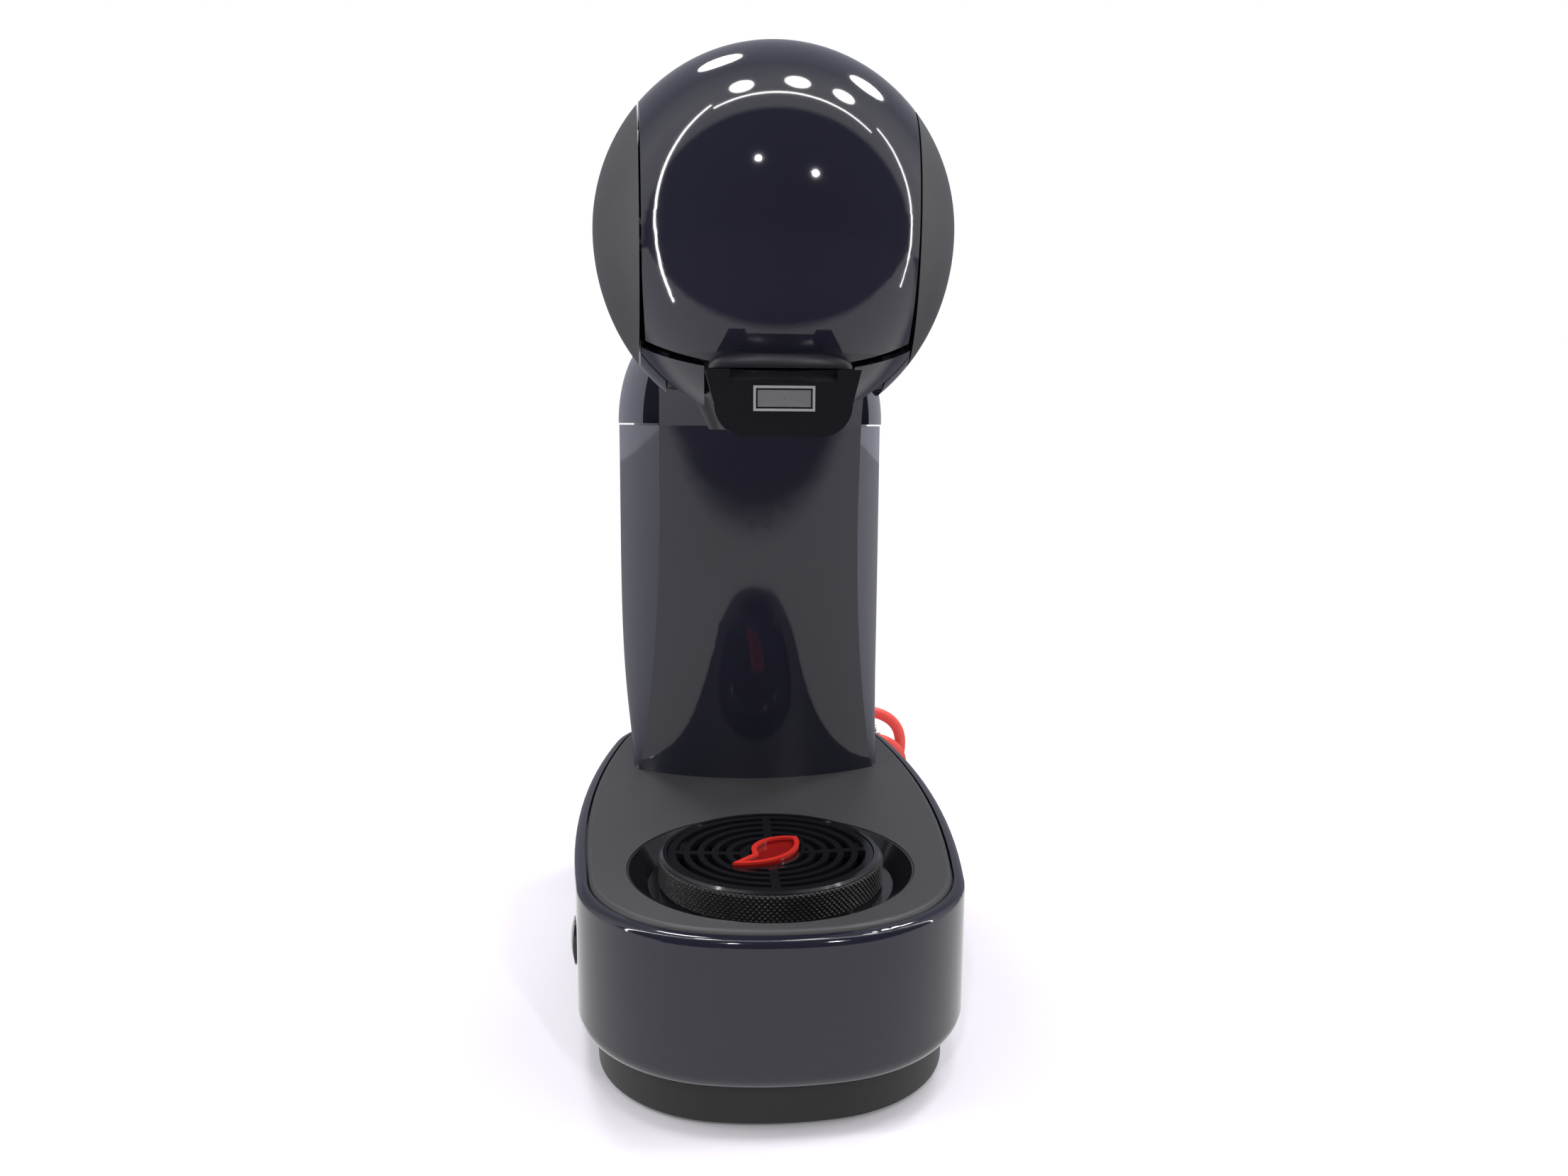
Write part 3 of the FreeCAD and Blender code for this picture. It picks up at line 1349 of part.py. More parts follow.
def tube(edges, radius, name):
    """A round tube along a route, its volume printed beside the section times the length."""
    path = Part.Wire(edges)
    start = path.Vertexes[0].Point
    heading = path.Edges[0].tangentAt(path.Edges[0].FirstParameter)
    ring = Part.Wire(Part.Circle(start, heading, number(radius)).toShape())
    sweep_shell = Part.BRepOffsetAPI.MakePipeShell(path)
    sweep_shell.add(ring)
    sweep_shell.build()
    sweep_shell.makeSolid()
    shape = sweep_shell.shape()
    expected = math.pi * number(radius) ** 2 * path.Length
    print(f"{name}: length {path.Length:.1f}, volume {shape.Volume:.0f} of {expected:.0f}")
    return solid(shape)


def vectors(points):
    """Points whose coordinates may come from the sheet, as plain vectors."""
    return [Vector(*(number(value) for value in point)) for point in points]


def hose(points, name):
    """A hose along its corner points."""
    edges, least = route(vectors(points))
    print(f"{name}: least bend radius {least:.1f}")
    return keep(tube(edges, dim.hose_radius, name), name)


hose_turn = dim.pump_z - 6
hose([
    (0, dim.tank_socket_y, socket_low), (0, dim.tank_socket_y, hose_turn), (-2, pump_back + 24, hose_turn),
    (dim.pump_x, pump_back + 24, dim.pump_z), (dim.pump_x, pump_back + 8, dim.pump_z)], "inlet_hose")
hose([
    (dim.pump_x, pump_front - 8, dim.pump_z), (dim.pump_x, pump_front - 30, dim.pump_z),
    (dim.heater_x, heater_front - 30, dim.pump_z), (dim.heater_x, heater_front - 8, dim.pump_z)],
    "pressure_hose")
valve_under = dim.valve_z - dim.valve_radius - 4
hose([
    (heater_outlet_x, heater_outlet_y, heater_top + 8), (heater_outlet_x, heater_outlet_y, heater_top + 70),
    (heater_outlet_x, heater_outlet_y - 4, heater_top + 125), (0, dim.valve_y, valve_under - 40),
    (0, dim.valve_y, valve_under)], "brew_hose")

# The hot and cold selector in the neck, and the straight pipe from it into the head.
valve_front = dim.valve_y - 10
pipe_end = dim.head_y + 49
keep(fuse(
    rod(dim.valve_radius, 17, 0, valve_front, dim.valve_z, "Y"),
    rod(pump_spigot, 10, 0, dim.valve_y, valve_under),
    rod(3.0, 24, 0, valve_front, dim.valve_z, "Y")), "selector_valve")
keep(rod(dim.hose_radius, valve_front - pipe_end, 0, pipe_end, dim.valve_z, "Y"), "injector_pipe")
lever_bore = 3.05
keep(cut(fuse(
    rod(7.0, 5.0, 0, lever_y - 2.4, dim.valve_z, "Y"),
    box((-2.4, 2.4), (lever_y - 2.4, lever_y + 2.6), (dim.valve_z, dim.valve_z + 34)),
    rod(5.0, 9.0, 0, lever_y - 4.5, dim.valve_z + 36, "Y")),
    rod(lever_bore, 12, 0, lever_y - 6, dim.valve_z, "Y")), "selector_lever")

# The mains cord: gland, lead, two loose upright loops behind the machine, tail and plug.
gland_end = dim.base_half_depth + 24
floor_z = number(dim.cord_radius)
gland_flange = gland_radius + 2.2
gland_start = dim.base_half_depth - dim.skirt_wall
keep(turned([
    (dim.cord_radius, -6), (gland_flange, -6), (gland_flange, -0.5), (gland_radius, -0.5), (gland_radius, 5),
    (dim.cord_radius + 1.2, 27), (dim.cord_radius, 27)],
    0, gland_start, dim.gland_z, ALONG["Y"]), "cord_gland")
plug_z = 17.0
loop_top = floor_z + 43.2
leaning_top = floor_z + 38.9
back = number(dim.base_half_depth)
cord_points = vectors([
    (0, gland_start - 2, dim.gland_z), (0, back + 59, dim.gland_z),
    (24, back + 82, dim.gland_z / 2), (50, back + 82, floor_z),
    (94, back + 82, floor_z), (94, back + 79, loop_top),
    (30, back + 76, loop_top), (30, back + 73, floor_z),
    (74, back + 70, floor_z), (74, back + 67, loop_top),
    (28, back + 64, loop_top), (28, back + 61, floor_z),
    (88, back + 53, floor_z), (88, back + 34, leaning_top),
    (26, back + 34, leaning_top), (26, back + 53, floor_z),
    (-20, back + 57, floor_z), (-42, back + 79, floor_z),
    (-42, back + 111, floor_z), (-20, back + 133, floor_z + 2),
    (14, back + 135, plug_z), (34, back + 135, plug_z)])
lead_run_count = 3
lead_and_loop_run_count = 15
cord_edges, cord_bend = route(cord_points)


def halves(edge):
    """The two halves of a straight run."""
    start, stop = (vertex.Point for vertex in edge.Vertexes)
    middle = (start + stop) * 0.5
    return line(start, middle), line(middle, stop)


def least_gap(edges, radius):
    """The least distance between strands that are not neighbours, less the cord's own thickness."""
    step = 2.0
    places = Part.Wire(edges).discretize(Distance=step)
    apart = int(45.0 / step)
    nearest = min((places[i] - places[j]).Length
                  for i in range(len(places)) for j in range(i + apart, len(places)))
    return nearest - 2 * number(radius)


lead_end, loops_start = halves(cord_edges[2 * lead_run_count])
loops_end, tail_start = halves(cord_edges[2 * lead_and_loop_run_count])
print(f"cord: least bend radius {cord_bend:.1f}, least gap between strands "
      f"{least_gap(cord_edges, dim.cord_radius):.2f}")
keep(tube(cord_edges[:2 * lead_run_count] + [lead_end], dim.cord_radius, "mains_lead"), "mains_lead")
loop_edges = cord_edges[2 * lead_run_count + 1:2 * lead_and_loop_run_count]
keep(tube([loops_start] + loop_edges + [loops_end], dim.cord_radius,
          "cord_loops"), "cord_loops")
tail_edges = cord_edges[2 * lead_and_loop_run_count + 1:]
keep(tube([tail_start] + tail_edges, dim.cord_radius, "lead_tail"), "lead_tail")

plug_x = cord_points[-1].x
plug_y = cord_points[-1].y
plug_radius = plug_z
pins = copies(rod(2.4, 19, plug_x + 36, plug_y, plug_z, "X"), [(0, 9.5), (0, -9.5)])
keep(turned([
    (0, 0), (dim.cord_radius + 1.6, 0), (dim.cord_radius + 2.4, 12),
    (plug_radius - 4, 17), (plug_radius, 23),
    (plug_radius, 36), (0, 36)], plug_x, plug_y, plug_z, ALONG["X"]), "mains_plug")
keep(fuse(*pins), "plug_pins")


# Every piece is tested before anything is written.
doc.recompute()
faulty = [obj.Label for obj in doc.Objects if "Invalid" in obj.State or "Error" in obj.State]
for piece in nodes:
    if piece.Shape.isNull() or not piece.Shape.isValid() or piece.Shape.Volume <= 0:
        faulty.append(piece.Label)
if faulty:
    raise RuntimeError("pieces that failed: " + ", ".join(faulty))
os.makedirs("parts", exist_ok=True)
for piece in nodes:
    piece.Shape.exportStep(f"parts/{piece.Label}.step")
    print(piece.Label, len(piece.Shape.Solids), "solids", round(piece.Shape.Volume / 1000, 2), "cm3")
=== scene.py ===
# %% [markdown]
# # A pod coffee machine, dressed for its portrait
# The solids come from the CAD model and stay where they are. This lesson gives them moulded plastic,
# rubber and metal finishes, lays the red mains cord behind the machine, and adds the small forms that a
# mould leaves on the surface. Everything is in metres, in the frame of the CAD model: +Z up and -Y to the
# front. Sizes that are easier to read in millimetres are multiplied by MM.

# %% Load the frame
import json
import math

import bpy
import numpy as np
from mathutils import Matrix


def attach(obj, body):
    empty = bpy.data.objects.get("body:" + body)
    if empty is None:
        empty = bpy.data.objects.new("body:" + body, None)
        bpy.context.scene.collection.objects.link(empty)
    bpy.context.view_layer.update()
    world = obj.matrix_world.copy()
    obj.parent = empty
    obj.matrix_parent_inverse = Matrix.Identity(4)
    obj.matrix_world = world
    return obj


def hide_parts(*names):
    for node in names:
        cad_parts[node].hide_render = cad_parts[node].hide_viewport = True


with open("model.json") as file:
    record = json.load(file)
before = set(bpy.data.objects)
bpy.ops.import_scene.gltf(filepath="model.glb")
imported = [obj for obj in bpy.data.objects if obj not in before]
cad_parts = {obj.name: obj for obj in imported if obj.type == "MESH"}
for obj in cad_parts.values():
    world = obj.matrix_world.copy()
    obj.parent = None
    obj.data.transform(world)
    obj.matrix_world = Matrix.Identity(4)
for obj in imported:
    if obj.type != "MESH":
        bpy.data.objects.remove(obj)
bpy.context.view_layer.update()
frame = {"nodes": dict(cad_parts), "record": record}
MM = 0.001

# %% [markdown]
# ## The camera
# The portrait is taken from close by, at the height of the grip and a little to the left, with a short
# lens. That is why the base looks large and the head seems to lean towards us. The place, the tilt and the
# lens were worked out from the outline of the ball and of the base.

# %% Camera
PHOTO_WIDTH = 2212
FOCAL_PIXELS = 1650
SENSOR = 36.0
NEAR_CLIP = 0.01
CAMERA_PLACE = (-0.022, -0.459, 0.214)
TILT_DOWN = 8.0
TURN_RIGHT = 3.83
ROLL = -0.38
camera_data = bpy.data.cameras.new("portrait_camera")
camera_data.sensor_width = SENSOR
camera_data.sensor_fit = "HORIZONTAL"
camera_data.lens = SENSOR * FOCAL_PIXELS / PHOTO_WIDTH
camera_data.clip_start = NEAR_CLIP
camera = bpy.data.objects.new("portrait_camera", camera_data)
camera.location = CAMERA_PLACE
camera.rotation_euler = (math.radians(90 - TILT_DOWN), math.radians(ROLL), math.radians(-TURN_RIGHT))
bpy.context.collection.objects.link(camera)
bpy.context.scene.camera = camera
print("lens", round(camera_data.lens, 2))

# %% [markdown]
# ## The mains cord
# A red round cord leaves the back of the base, comes down on the table and stands in three loose loops,
# two upright and one leaning, whose ends show to the right of the column. A mesh tube would need its own
# rings of points. A curve with a round bevel is a cord already: the route's corner points become the
# control points of a smooth NURBS line.

# %% Cord
CORD_RADIUS = 3.2
PLUG_HEIGHT = 17.0
EXIT_HEIGHT = 28.0
LOOP_TOP = CORD_RADIUS + 43.2
LEANING_TOP = CORD_RADIUS + 38.9
cord_route = np.array([
    (0, 129.4, EXIT_HEIGHT), (0, 194, EXIT_HEIGHT), (24, 217, EXIT_HEIGHT / 2), (50, 217, CORD_RADIUS),
    (94, 217, CORD_RADIUS), (94, 214, LOOP_TOP), (30, 211, LOOP_TOP), (30, 208, CORD_RADIUS),
    (74, 205, CORD_RADIUS), (74, 202, LOOP_TOP), (28, 199, LOOP_TOP), (28, 196, CORD_RADIUS),
    (88, 188, CORD_RADIUS), (88, 169, LEANING_TOP), (26, 169, LEANING_TOP), (26, 188, CORD_RADIUS),
    (-20, 192, CORD_RADIUS), (-42, 214, CORD_RADIUS), (-42, 246, CORD_RADIUS), (-20, 268, CORD_RADIUS + 2),
    (14, 270, PLUG_HEIGHT), (34, 270, PLUG_HEIGHT)]) * MM


def cord_curve(name, points, radius):
    """A round cord: a NURBS line of order 3 through soft corners, thickened by a bevel.

    The bevel has a depth of 1, so each point's own radius is the radius of the cord.
    """
    data = bpy.data.curves.new(name, "CURVE")
    data.dimensions = "3D"
    spline = data.splines.new("NURBS")
    spline.points.add(len(points) - 1)
    spline.points.foreach_set("co", np.column_stack([points, np.ones(len(points))]).ravel())
    spline.order_u = 3
    spline.use_endpoint_u = True
    spline.resolution_u = 24
    spline.points.foreach_set("radius", np.full(len(points), radius))
    data.bevel_depth = 1.0
    data.bevel_resolution = 6
    data.use_fill_caps = True
    made = bpy.data.objects.new(name, data)
    bpy.context.collection.objects.link(made)
    return made


cord = cord_curve("red_cord", cord_route, CORD_RADIUS * MM)
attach(cord, "base")
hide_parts("mains_lead", "cord_loops", "lead_tail")
print("cord points", len(cord_route))

# %% [markdown]
# ## Shader arithmetic
# A material is easier to read as a formula. The class below wraps one output socket of a node, so that
# sums and products of sockets add the Math nodes by themselves. All other nodes come from one function.

# %% Socket class
class Field:
    """A value that varies over a surface: one socket, with the operators that add Math nodes."""

    def __init__(self, tree, socket):
        self.tree = tree
        self.socket = socket

    def math(self, operation, first, second):
        return node(self.tree, "ShaderNodeMath", {"operation": operation}, {0: first, 1: second})

    def __add__(self, other):
        return self.math("ADD", self, other)

    def __radd__(self, other):
        return self.math("ADD", other, self)

    def __sub__(self, other):
        return self.math("SUBTRACT", self, other)

    def __rsub__(self, other):
        return self.math("SUBTRACT", other, self)

    def __mul__(self, other):
        return self.math("MULTIPLY", self, other)

    def __rmul__(self, other):
        return self.math("MULTIPLY", other, self)

    def __gt__(self, other):
        return self.math("GREATER_THAN", self, other)


def node(tree, kind, settings=None, inputs=None, output=0):
    """Add a node, set it up, fill or link its sockets, and give back one output."""
    made = tree.nodes.new(kind)
    for key, value in (settings or {}).items():
        if key == "stops":
            ramp = made.color_ramp
            while len(ramp.elements) < len(value):
                ramp.elements.new(0.5)
            for element, (place, colour) in zip(ramp.elements, value):
                element.position = place
                element.color = colour
        else:
            setattr(made, key, value)
    for key, value in (inputs or {}).items():
        if isinstance(value, Field):
            tree.links.new(value.socket, made.inputs[key])
        else:
            made.inputs[key].default_value = value
    return Field(tree, made.outputs[output])


# %% [markdown]
# ## The nodes that the finishes share
# Every finish starts from a Principled shader and the Object coordinates, so its pattern stays with the
# piece when the piece moves. A few more helpers name the nodes that come back in most of the finishes.

# %% Shared nodes
OBJECT_COORDINATES = 3
finishes = {}


def surface(name):
    """A new material, kept by its name, with its tree, its Principled shader and the Object coordinates."""
    material = bpy.data.materials.new(name)
    finishes[name] = material
    material.use_nodes = True
    tree = material.node_tree
    tree.nodes.clear()
    shader = tree.nodes.new("ShaderNodeBsdfPrincipled")
    end = tree.nodes.new("ShaderNodeOutputMaterial")
    tree.links.new(shader.outputs[0], end.inputs[0])
    place = node(tree, "ShaderNodeTexCoord", output=OBJECT_COORDINATES)
    return material, tree, shader, place


def noise(tree, place, scale, detail=2.0, roughness=0.5):
    """Soft random grain of a given fineness, from 0 to 1."""
    return node(tree, "ShaderNodeTexNoise", {}, {"Vector": place, "Scale": scale, "Detail": detail,
                                                 "Roughness": roughness})


def coordinate(tree, vector, axis):
    """One coordinate of a vector, by the letter of its axis."""
    return node(tree, "ShaderNodeSeparateXYZ", {}, {0: vector}, output="XYZ".index(axis))


def relief(tree, height, strength, depth):
    """A bump of a given depth where the height is 1."""
    return node(tree, "ShaderNodeBump", {}, {"Strength": strength, "Distance": depth, "Height": height})


def opaque(colour, share=1.0):
    """A colour with full alpha, dimmed to a share of itself."""
    return tuple(share * part for part in colour) + (1.0,)


def blend_colours(tree, share, first, second):
    """A colour between two others."""
    return node(tree, "ShaderNodeMix", {"data_type": "RGBA"}, {0: share, 6: first, 7: second}, output=2)


def feed(tree, shader, **values):
    """Link or set the Principled shader's sockets."""
    for key, value in values.items():
        socket = shader.inputs[key.replace("_", " ")]
        if isinstance(value, Field):
            tree.links.new(value.socket, socket)
        else:
            socket.default_value = value


# %% [markdown]
# ## Moulded plastic
# Three grades of plastic make up the machine. The polished shells keep a trace of orange peel from the
# mould. The matte caps and deck have a fine spark-eroded grain, and the plinth has a coarser one. Images of
# such surfaces could be wrapped round the pieces, but each piece would have to be unwrapped for them. Noise
# in a piece's own coordinates fits a solid of any shape.

# %% Plastic recipes
SATIN = 0.38
DUST_LEVEL = 0.70
DUST_DULLNESS = 0.05


def polished(name, colour, rough, peel=0.02, satin_below=None):
    """Polished plastic: a deep colour, a clear gloss, and a very slight waviness from the mould.

    Clouds vary the tone and the gloss, and specks of dust dull it. Below the height satin_below, where one
    is given, the surface is satin.
    """
    material, tree, shader, place = surface(name)
    cloud = noise(tree, place, scale=22.0)
    dust = noise(tree, place, scale=900.0, detail=3.0)
    tint = blend_colours(tree, cloud, opaque(colour, 0.86), opaque(colour))
    gloss = rough * 0.7 + cloud * (rough * 0.4) + (dust > DUST_LEVEL) * DUST_DULLNESS
    if satin_below is not None:
        gloss = gloss + (1.0 - (coordinate(tree, place, "Z") > satin_below)) * SATIN
    wave = noise(tree, place, scale=140.0, detail=1.0)
    feed(tree, shader, Base_Color=tint, Roughness=gloss, Normal=relief(tree, wave, peel, 0.4 * MM))
    return material


def grained(name, colour, rough, grain=0.25, fineness=2600.0):
    """Matte plastic: a fine eroded grain that breaks up the light, a little uneven in tone."""
    material, tree, shader, place = surface(name)
    cloud = noise(tree, place, scale=30.0, detail=3.0)
    speck = noise(tree, place, scale=fineness, roughness=0.6)
    tint = blend_colours(tree, cloud * 0.6 + speck * 0.4, opaque(colour, 0.80), opaque(colour))
    feed(tree, shader, Base_Color=tint, Roughness=rough - 0.06 + cloud * 0.12,
         Normal=relief(tree, speck, grain, 0.3 * MM), Specular_IOR_Level=0.4)
    return material


def rim_and_shaded_pocket(name, rim, pocket, step):
    """Polished plastic, a moulded rim round a deeper pocket; the pocket below the height step is painted
    darker, as painted shade.
    """
    material, tree, shader, place = surface(name)
    cloud = noise(tree, place, scale=60.0)
    # below the step the pocket colour is painted shade, not a second red
    tint = blend_colours(tree, coordinate(tree, place, "Z") > step, opaque(pocket), opaque(rim))
    feed(tree, shader, Base_Color=tint, Roughness=0.10 + cloud * 0.06)
    return material


# %% [markdown]
# ### The plastics of this machine
# The shells are anthracite, nearly black with a trace of blue. The front panel is satin below the top of
# its lip, and the red float's pocket is painted darker than its rim, as painted shade. Both borders are
# level, so comparing the height with one number draws each of them, and no mask has to be painted.

# %% Plastics
ANTHRACITE = (0.015, 0.015, 0.025)
PANEL_LIP_TOP = 234.4 * MM
FLOAT_POCKET = 0.8 * MM
float_top = max(corner[2] for corner in frame["nodes"]["level_float"].bound_box)
polished("gloss_anthracite", ANTHRACITE, rough=0.07)
panel_anthracite = polished("panel_anthracite", ANTHRACITE, rough=0.07, satin_below=PANEL_LIP_TOP)
grained("matte_anthracite", (0.046, 0.046, 0.048), rough=0.48)
grained("plinth_black", (0.012, 0.0115, 0.013), rough=0.55, grain=0.35, fineness=1500.0)
polished("gloss_black", (0.009, 0.009, 0.011), rough=0.13)
polished("holder_black", (0.008, 0.008, 0.010), rough=0.26, peel=0.03)
# the float's darker pocket colour is painted shade
rim_and_shaded_pocket("float_red", (0.60, 0.030, 0.022), (0.24, 0.009, 0.008), float_top - FLOAT_POCKET)
grained("inner_grey", (0.13, 0.13, 0.14), rough=0.5)
polished("tank_smoke", (0.016, 0.017, 0.021), rough=0.14)
knurl_black = grained("knurl_black", (0.022, 0.022, 0.023), rough=0.34)
print("plastics", len(finishes))

# %% [markdown]
# ## Rubber, metal and the works
# The feet, seals and cord sheath are rubbery: dull, with a soft bloom. The works inside are plain steel,
# cast aluminium and a lacquered board, seen only when the machine is opened. The steel's streaks are noise
# stretched along one axis, which needs no image and fits a solid of any shape.

# %% Rubber and metal
def rubbery(name, colour, rough=0.55):
    """Rubber or sheath: dull, with clouds of a paler bloom over a fine grain."""
    material, tree, shader, place = surface(name)
    cloud = noise(tree, place, scale=60.0, detail=3.0)
    speck = noise(tree, place, scale=1200.0)
    bloom = opaque([min(1.0, part * 1.25 + 0.004) for part in colour])
    tint = blend_colours(tree, cloud, opaque(colour), bloom)
    feed(tree, shader, Base_Color=tint, Roughness=rough - 0.05 + cloud * 0.1,
         Normal=relief(tree, speck, 0.2, 0.3 * MM))
    return material


def metal(name, colour, rough, along=(1.0, 1.0, 1.0)):
    """Bare metal: fine noise varies its tone and gloss.

    A number below 1 in along stretches the noise to streaks on that axis.
    """
    material, tree, shader, place = surface(name)
    stretched = node(tree, "ShaderNodeMapping", {}, {"Vector": place, "Scale": along})
    streak = noise(tree, stretched, scale=500.0, detail=3.0)
    tint = blend_colours(tree, streak, opaque(colour, 0.75), opaque(colour))
    feed(tree, shader, Base_Color=tint, Roughness=rough - 0.08 + streak * 0.16, Metallic=1.0)
    return material


rubbery("rubber_black", (0.018, 0.018, 0.018))
cord_red = rubbery("cord_red", (0.66, 0.055, 0.040), rough=0.38)
rubbery("plug_red", (0.58, 0.048, 0.038), rough=0.42)
rubbery("hose_silicone", (0.66, 0.66, 0.62), rough=0.35)
metal("steel", (0.56, 0.56, 0.56), rough=0.30, along=(1.0, 0.06, 1.0))
metal("heater_aluminium", (0.60, 0.60, 0.61), rough=0.45)
metal("brass_pins", (0.78, 0.70, 0.50), rough=0.25)
polished("board_green", (0.02, 0.14, 0.06), rough=0.3)
print("finishes", len(finishes))

# %% [markdown]
# ## Dressing the solids
# The record names a slot for every node of the CAD model, so one loop dresses them all. Doing it by hand
# would repeat what the record says. Only the front panel gets a finish of its own, for its satin edge. The
# cord gets its sheath here too.

# %% Dress the solids
for part in frame["record"]["subparts"]:
    solid = frame["nodes"][part["node"]]
    solid.data.materials.clear()
    solid.data.materials.append(finishes[part["material_slot"]])
frame["nodes"]["locking_handle"].data.materials[0] = panel_anthracite
cord.data.materials.append(cord_red)

# %% [markdown]
# ## Grids of points
# New pieces are surfaces over two parameters. A grid of points becomes a mesh with one helper, which joins
# each point to its neighbours by four-sided faces. It works on whole arrays, without a loop over the points.

# %% Grid helpers
def grid_faces(rows, columns, wrap_rows=False, wrap_columns=False):
    """Four-sided faces between neighbours of a grid, whose points are numbered row x columns + column."""
    row = np.arange(rows if wrap_rows else rows - 1)
    column = np.arange(columns if wrap_columns else columns - 1)
    row, column = (numbers.ravel() for numbers in np.meshgrid(row, column, indexing="ij"))
    here = row * columns
    next_row = (row + 1) % rows * columns
    next_column = (column + 1) % columns
    return np.stack([here + column, next_row + column, next_row + next_column, here + next_column], 1)


def grid_object(name, grid, material, wrap_rows=False, wrap_columns=False, smooth=True):
    """A mesh object from a grid of points."""
    faces = grid_faces(grid.shape[0], grid.shape[1], wrap_rows, wrap_columns)
    mesh = bpy.data.meshes.new(name)
    mesh.from_pydata(grid.reshape(-1, 3).tolist(), [], faces.tolist())
    mesh.polygons.foreach_set("use_smooth", np.full(len(mesh.polygons), smooth))
    mesh.materials.append(material)
    mesh.update()
    made = bpy.data.objects.new(name, mesh)
    bpy.context.collection.objects.link(made)
    return made


# %% [markdown]
# ## The knurled tray rim
# The drip tray is lifted by its rim, so the mould gives it a diamond knurl. A bump in the material would
# leave the rim's outline smooth, so the knurl is a mesh. Two triangle waves that run round the rim in
# opposite directions make the diamonds: where both are high, the rim stands proud.

# %% Knurl
TRAY_Y = -76.0
TRAY_RADIUS = 37.5
RIM_LOW = 59.6
RIM_HIGH = 68.9
RIM_CLEARANCE = 0.04
RIM_ROOT = 0.3


def round_the_tray(radius, angle, z):
    """Points at a radius, an angle and a height about the tray's own axis."""
    return np.stack([radius * np.cos(angle), TRAY_Y + radius * np.sin(angle), z], -1)


def knurled_rim(diamonds=130, rows=5.0, depth=0.7, per_diamond=6):
    """Radius = the tray's + a clearance + depth x twice the smaller of two crossed waves, at most 1.

    The waves are triangles, and the diamonds fade out at both edges of the band.
    """
    turns = np.arange(diamonds * per_diamond) / (diamonds * per_diamond)
    height = np.linspace(0, 1, int(rows * per_diamond) + 1)
    u, v = np.meshgrid(turns * diamonds, height * rows, indexing="ij")
    rising = 1 - 2 * np.abs((u + v) % 1 - 0.5)
    falling = 1 - 2 * np.abs((u - v) % 1 - 0.5)
    diamond = np.minimum(np.minimum(rising, falling) * 2, 1)
    fade = np.clip(np.minimum(v, rows - v) * 4, 0, 1)
    radius = TRAY_RADIUS + RIM_CLEARANCE + depth * diamond * fade
    angle = 2 * math.pi * u / diamonds
    z = RIM_LOW + (RIM_HIGH - RIM_LOW) * v / rows
    root = TRAY_RADIUS - RIM_ROOT
    low_end = round_the_tray(root, angle[:, :1], z[:, :1])
    high_end = round_the_tray(root, angle[:, -1:], z[:, -1:])
    return np.concatenate([low_end, round_the_tray(radius, angle, z), high_end], 1) * MM


rim = grid_object("knurled_rim", knurled_rim(), knurl_black, wrap_rows=True, smooth=False)
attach(rim, "drip_tray")
print("rim faces", len(rim.data.polygons))

# %% [markdown]
# ## The bare plate on the grip
# A small framed plate sits in the middle of the grip, under the thumb scoop. It is left bare. The grip's
# front is part of a cylinder, so a flat plate would stand off at both ends. The plate is a patch of the same
# cylinder instead, a hair further out.

# %% Bowed frames
GRIP_FRONT = -131.5
GRIP_BOW = 65.5
POINTS_ACROSS = 13
POINTS_UP = 7


def rectangle(half, low, high):
    """The x and z of points along the four sides of a rectangle."""
    across = np.linspace(-half, half, POINTS_ACROSS)
    up = np.linspace(low, high, POINTS_UP)[1:-1]
    side = np.full(len(up), half)
    x = np.concatenate([across, side, across[::-1], -side])
    z = np.concatenate([np.full(POINTS_ACROSS, low), up, np.full(POINTS_ACROSS, high), up[::-1]])
    return x, z


def bowed_frame(outer, inner, proud):
    """A rectangle (half width, low, high) with a smaller one cut out, wrapped on the grip's bowed front.

    Depth = the bow's centre less the root of the squared radius minus x squared, where the radius is the
    bow's own, or the bow's and the plate's thickness.
    """
    rings = []
    for outline, lift in ((outer, 0.0), (outer, proud), (inner, proud), (inner, 0.0)):
        x, z = rectangle(*outline)
        y = GRIP_FRONT + GRIP_BOW - np.sqrt((GRIP_BOW + lift) ** 2 - x ** 2)
        rings.append(np.stack([x, y, z], -1))
    return np.array(rings) * MM


# %% [markdown]
# ### The plate's border and field
# A pale border stands a little prouder than the darker field, with a narrow groove between them. Both come
# from the one function: the field is a frame whose cut-out is only a fifth of a millimetre wide.

# %% Grip plate
PLATE_HALF_WIDTH = 8.6
PLATE_LOW = 217.4
PLATE_HIGH = 224.4
BORDER_WIDTH = 0.7
FIELD_INSET = 1.2
BORDER_PROUD = 0.20
FIELD_PROUD = 0.14
CENTRE_HOLE = 0.1


def plate_outline(inset):
    """The plate's rectangle, drawn in by an inset."""
    return PLATE_HALF_WIDTH - inset, PLATE_LOW + inset, PLATE_HIGH - inset


plate_grey = grained("plate_grey", (0.13, 0.13, 0.135), rough=0.42, grain=0.1)
frame_grey = grained("frame_grey", (0.30, 0.30, 0.30), rough=0.40, grain=0.1)
plate_middle = (PLATE_LOW + PLATE_HIGH) / 2
centre = (CENTRE_HOLE, plate_middle - CENTRE_HOLE, plate_middle + CENTRE_HOLE)
for name, material, outer, inner, proud in (
        ("plate_border", frame_grey, plate_outline(0.0), plate_outline(BORDER_WIDTH), BORDER_PROUD),
        ("plate_field", plate_grey, plate_outline(FIELD_INSET), centre, FIELD_PROUD)):
    piece = grid_object(name, bowed_frame(outer, inner, proud), material, wrap_columns=True, smooth=False)
    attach(piece, "capsule_holder")
print("plate height in mm", round(PLATE_HIGH - PLATE_LOW, 2))
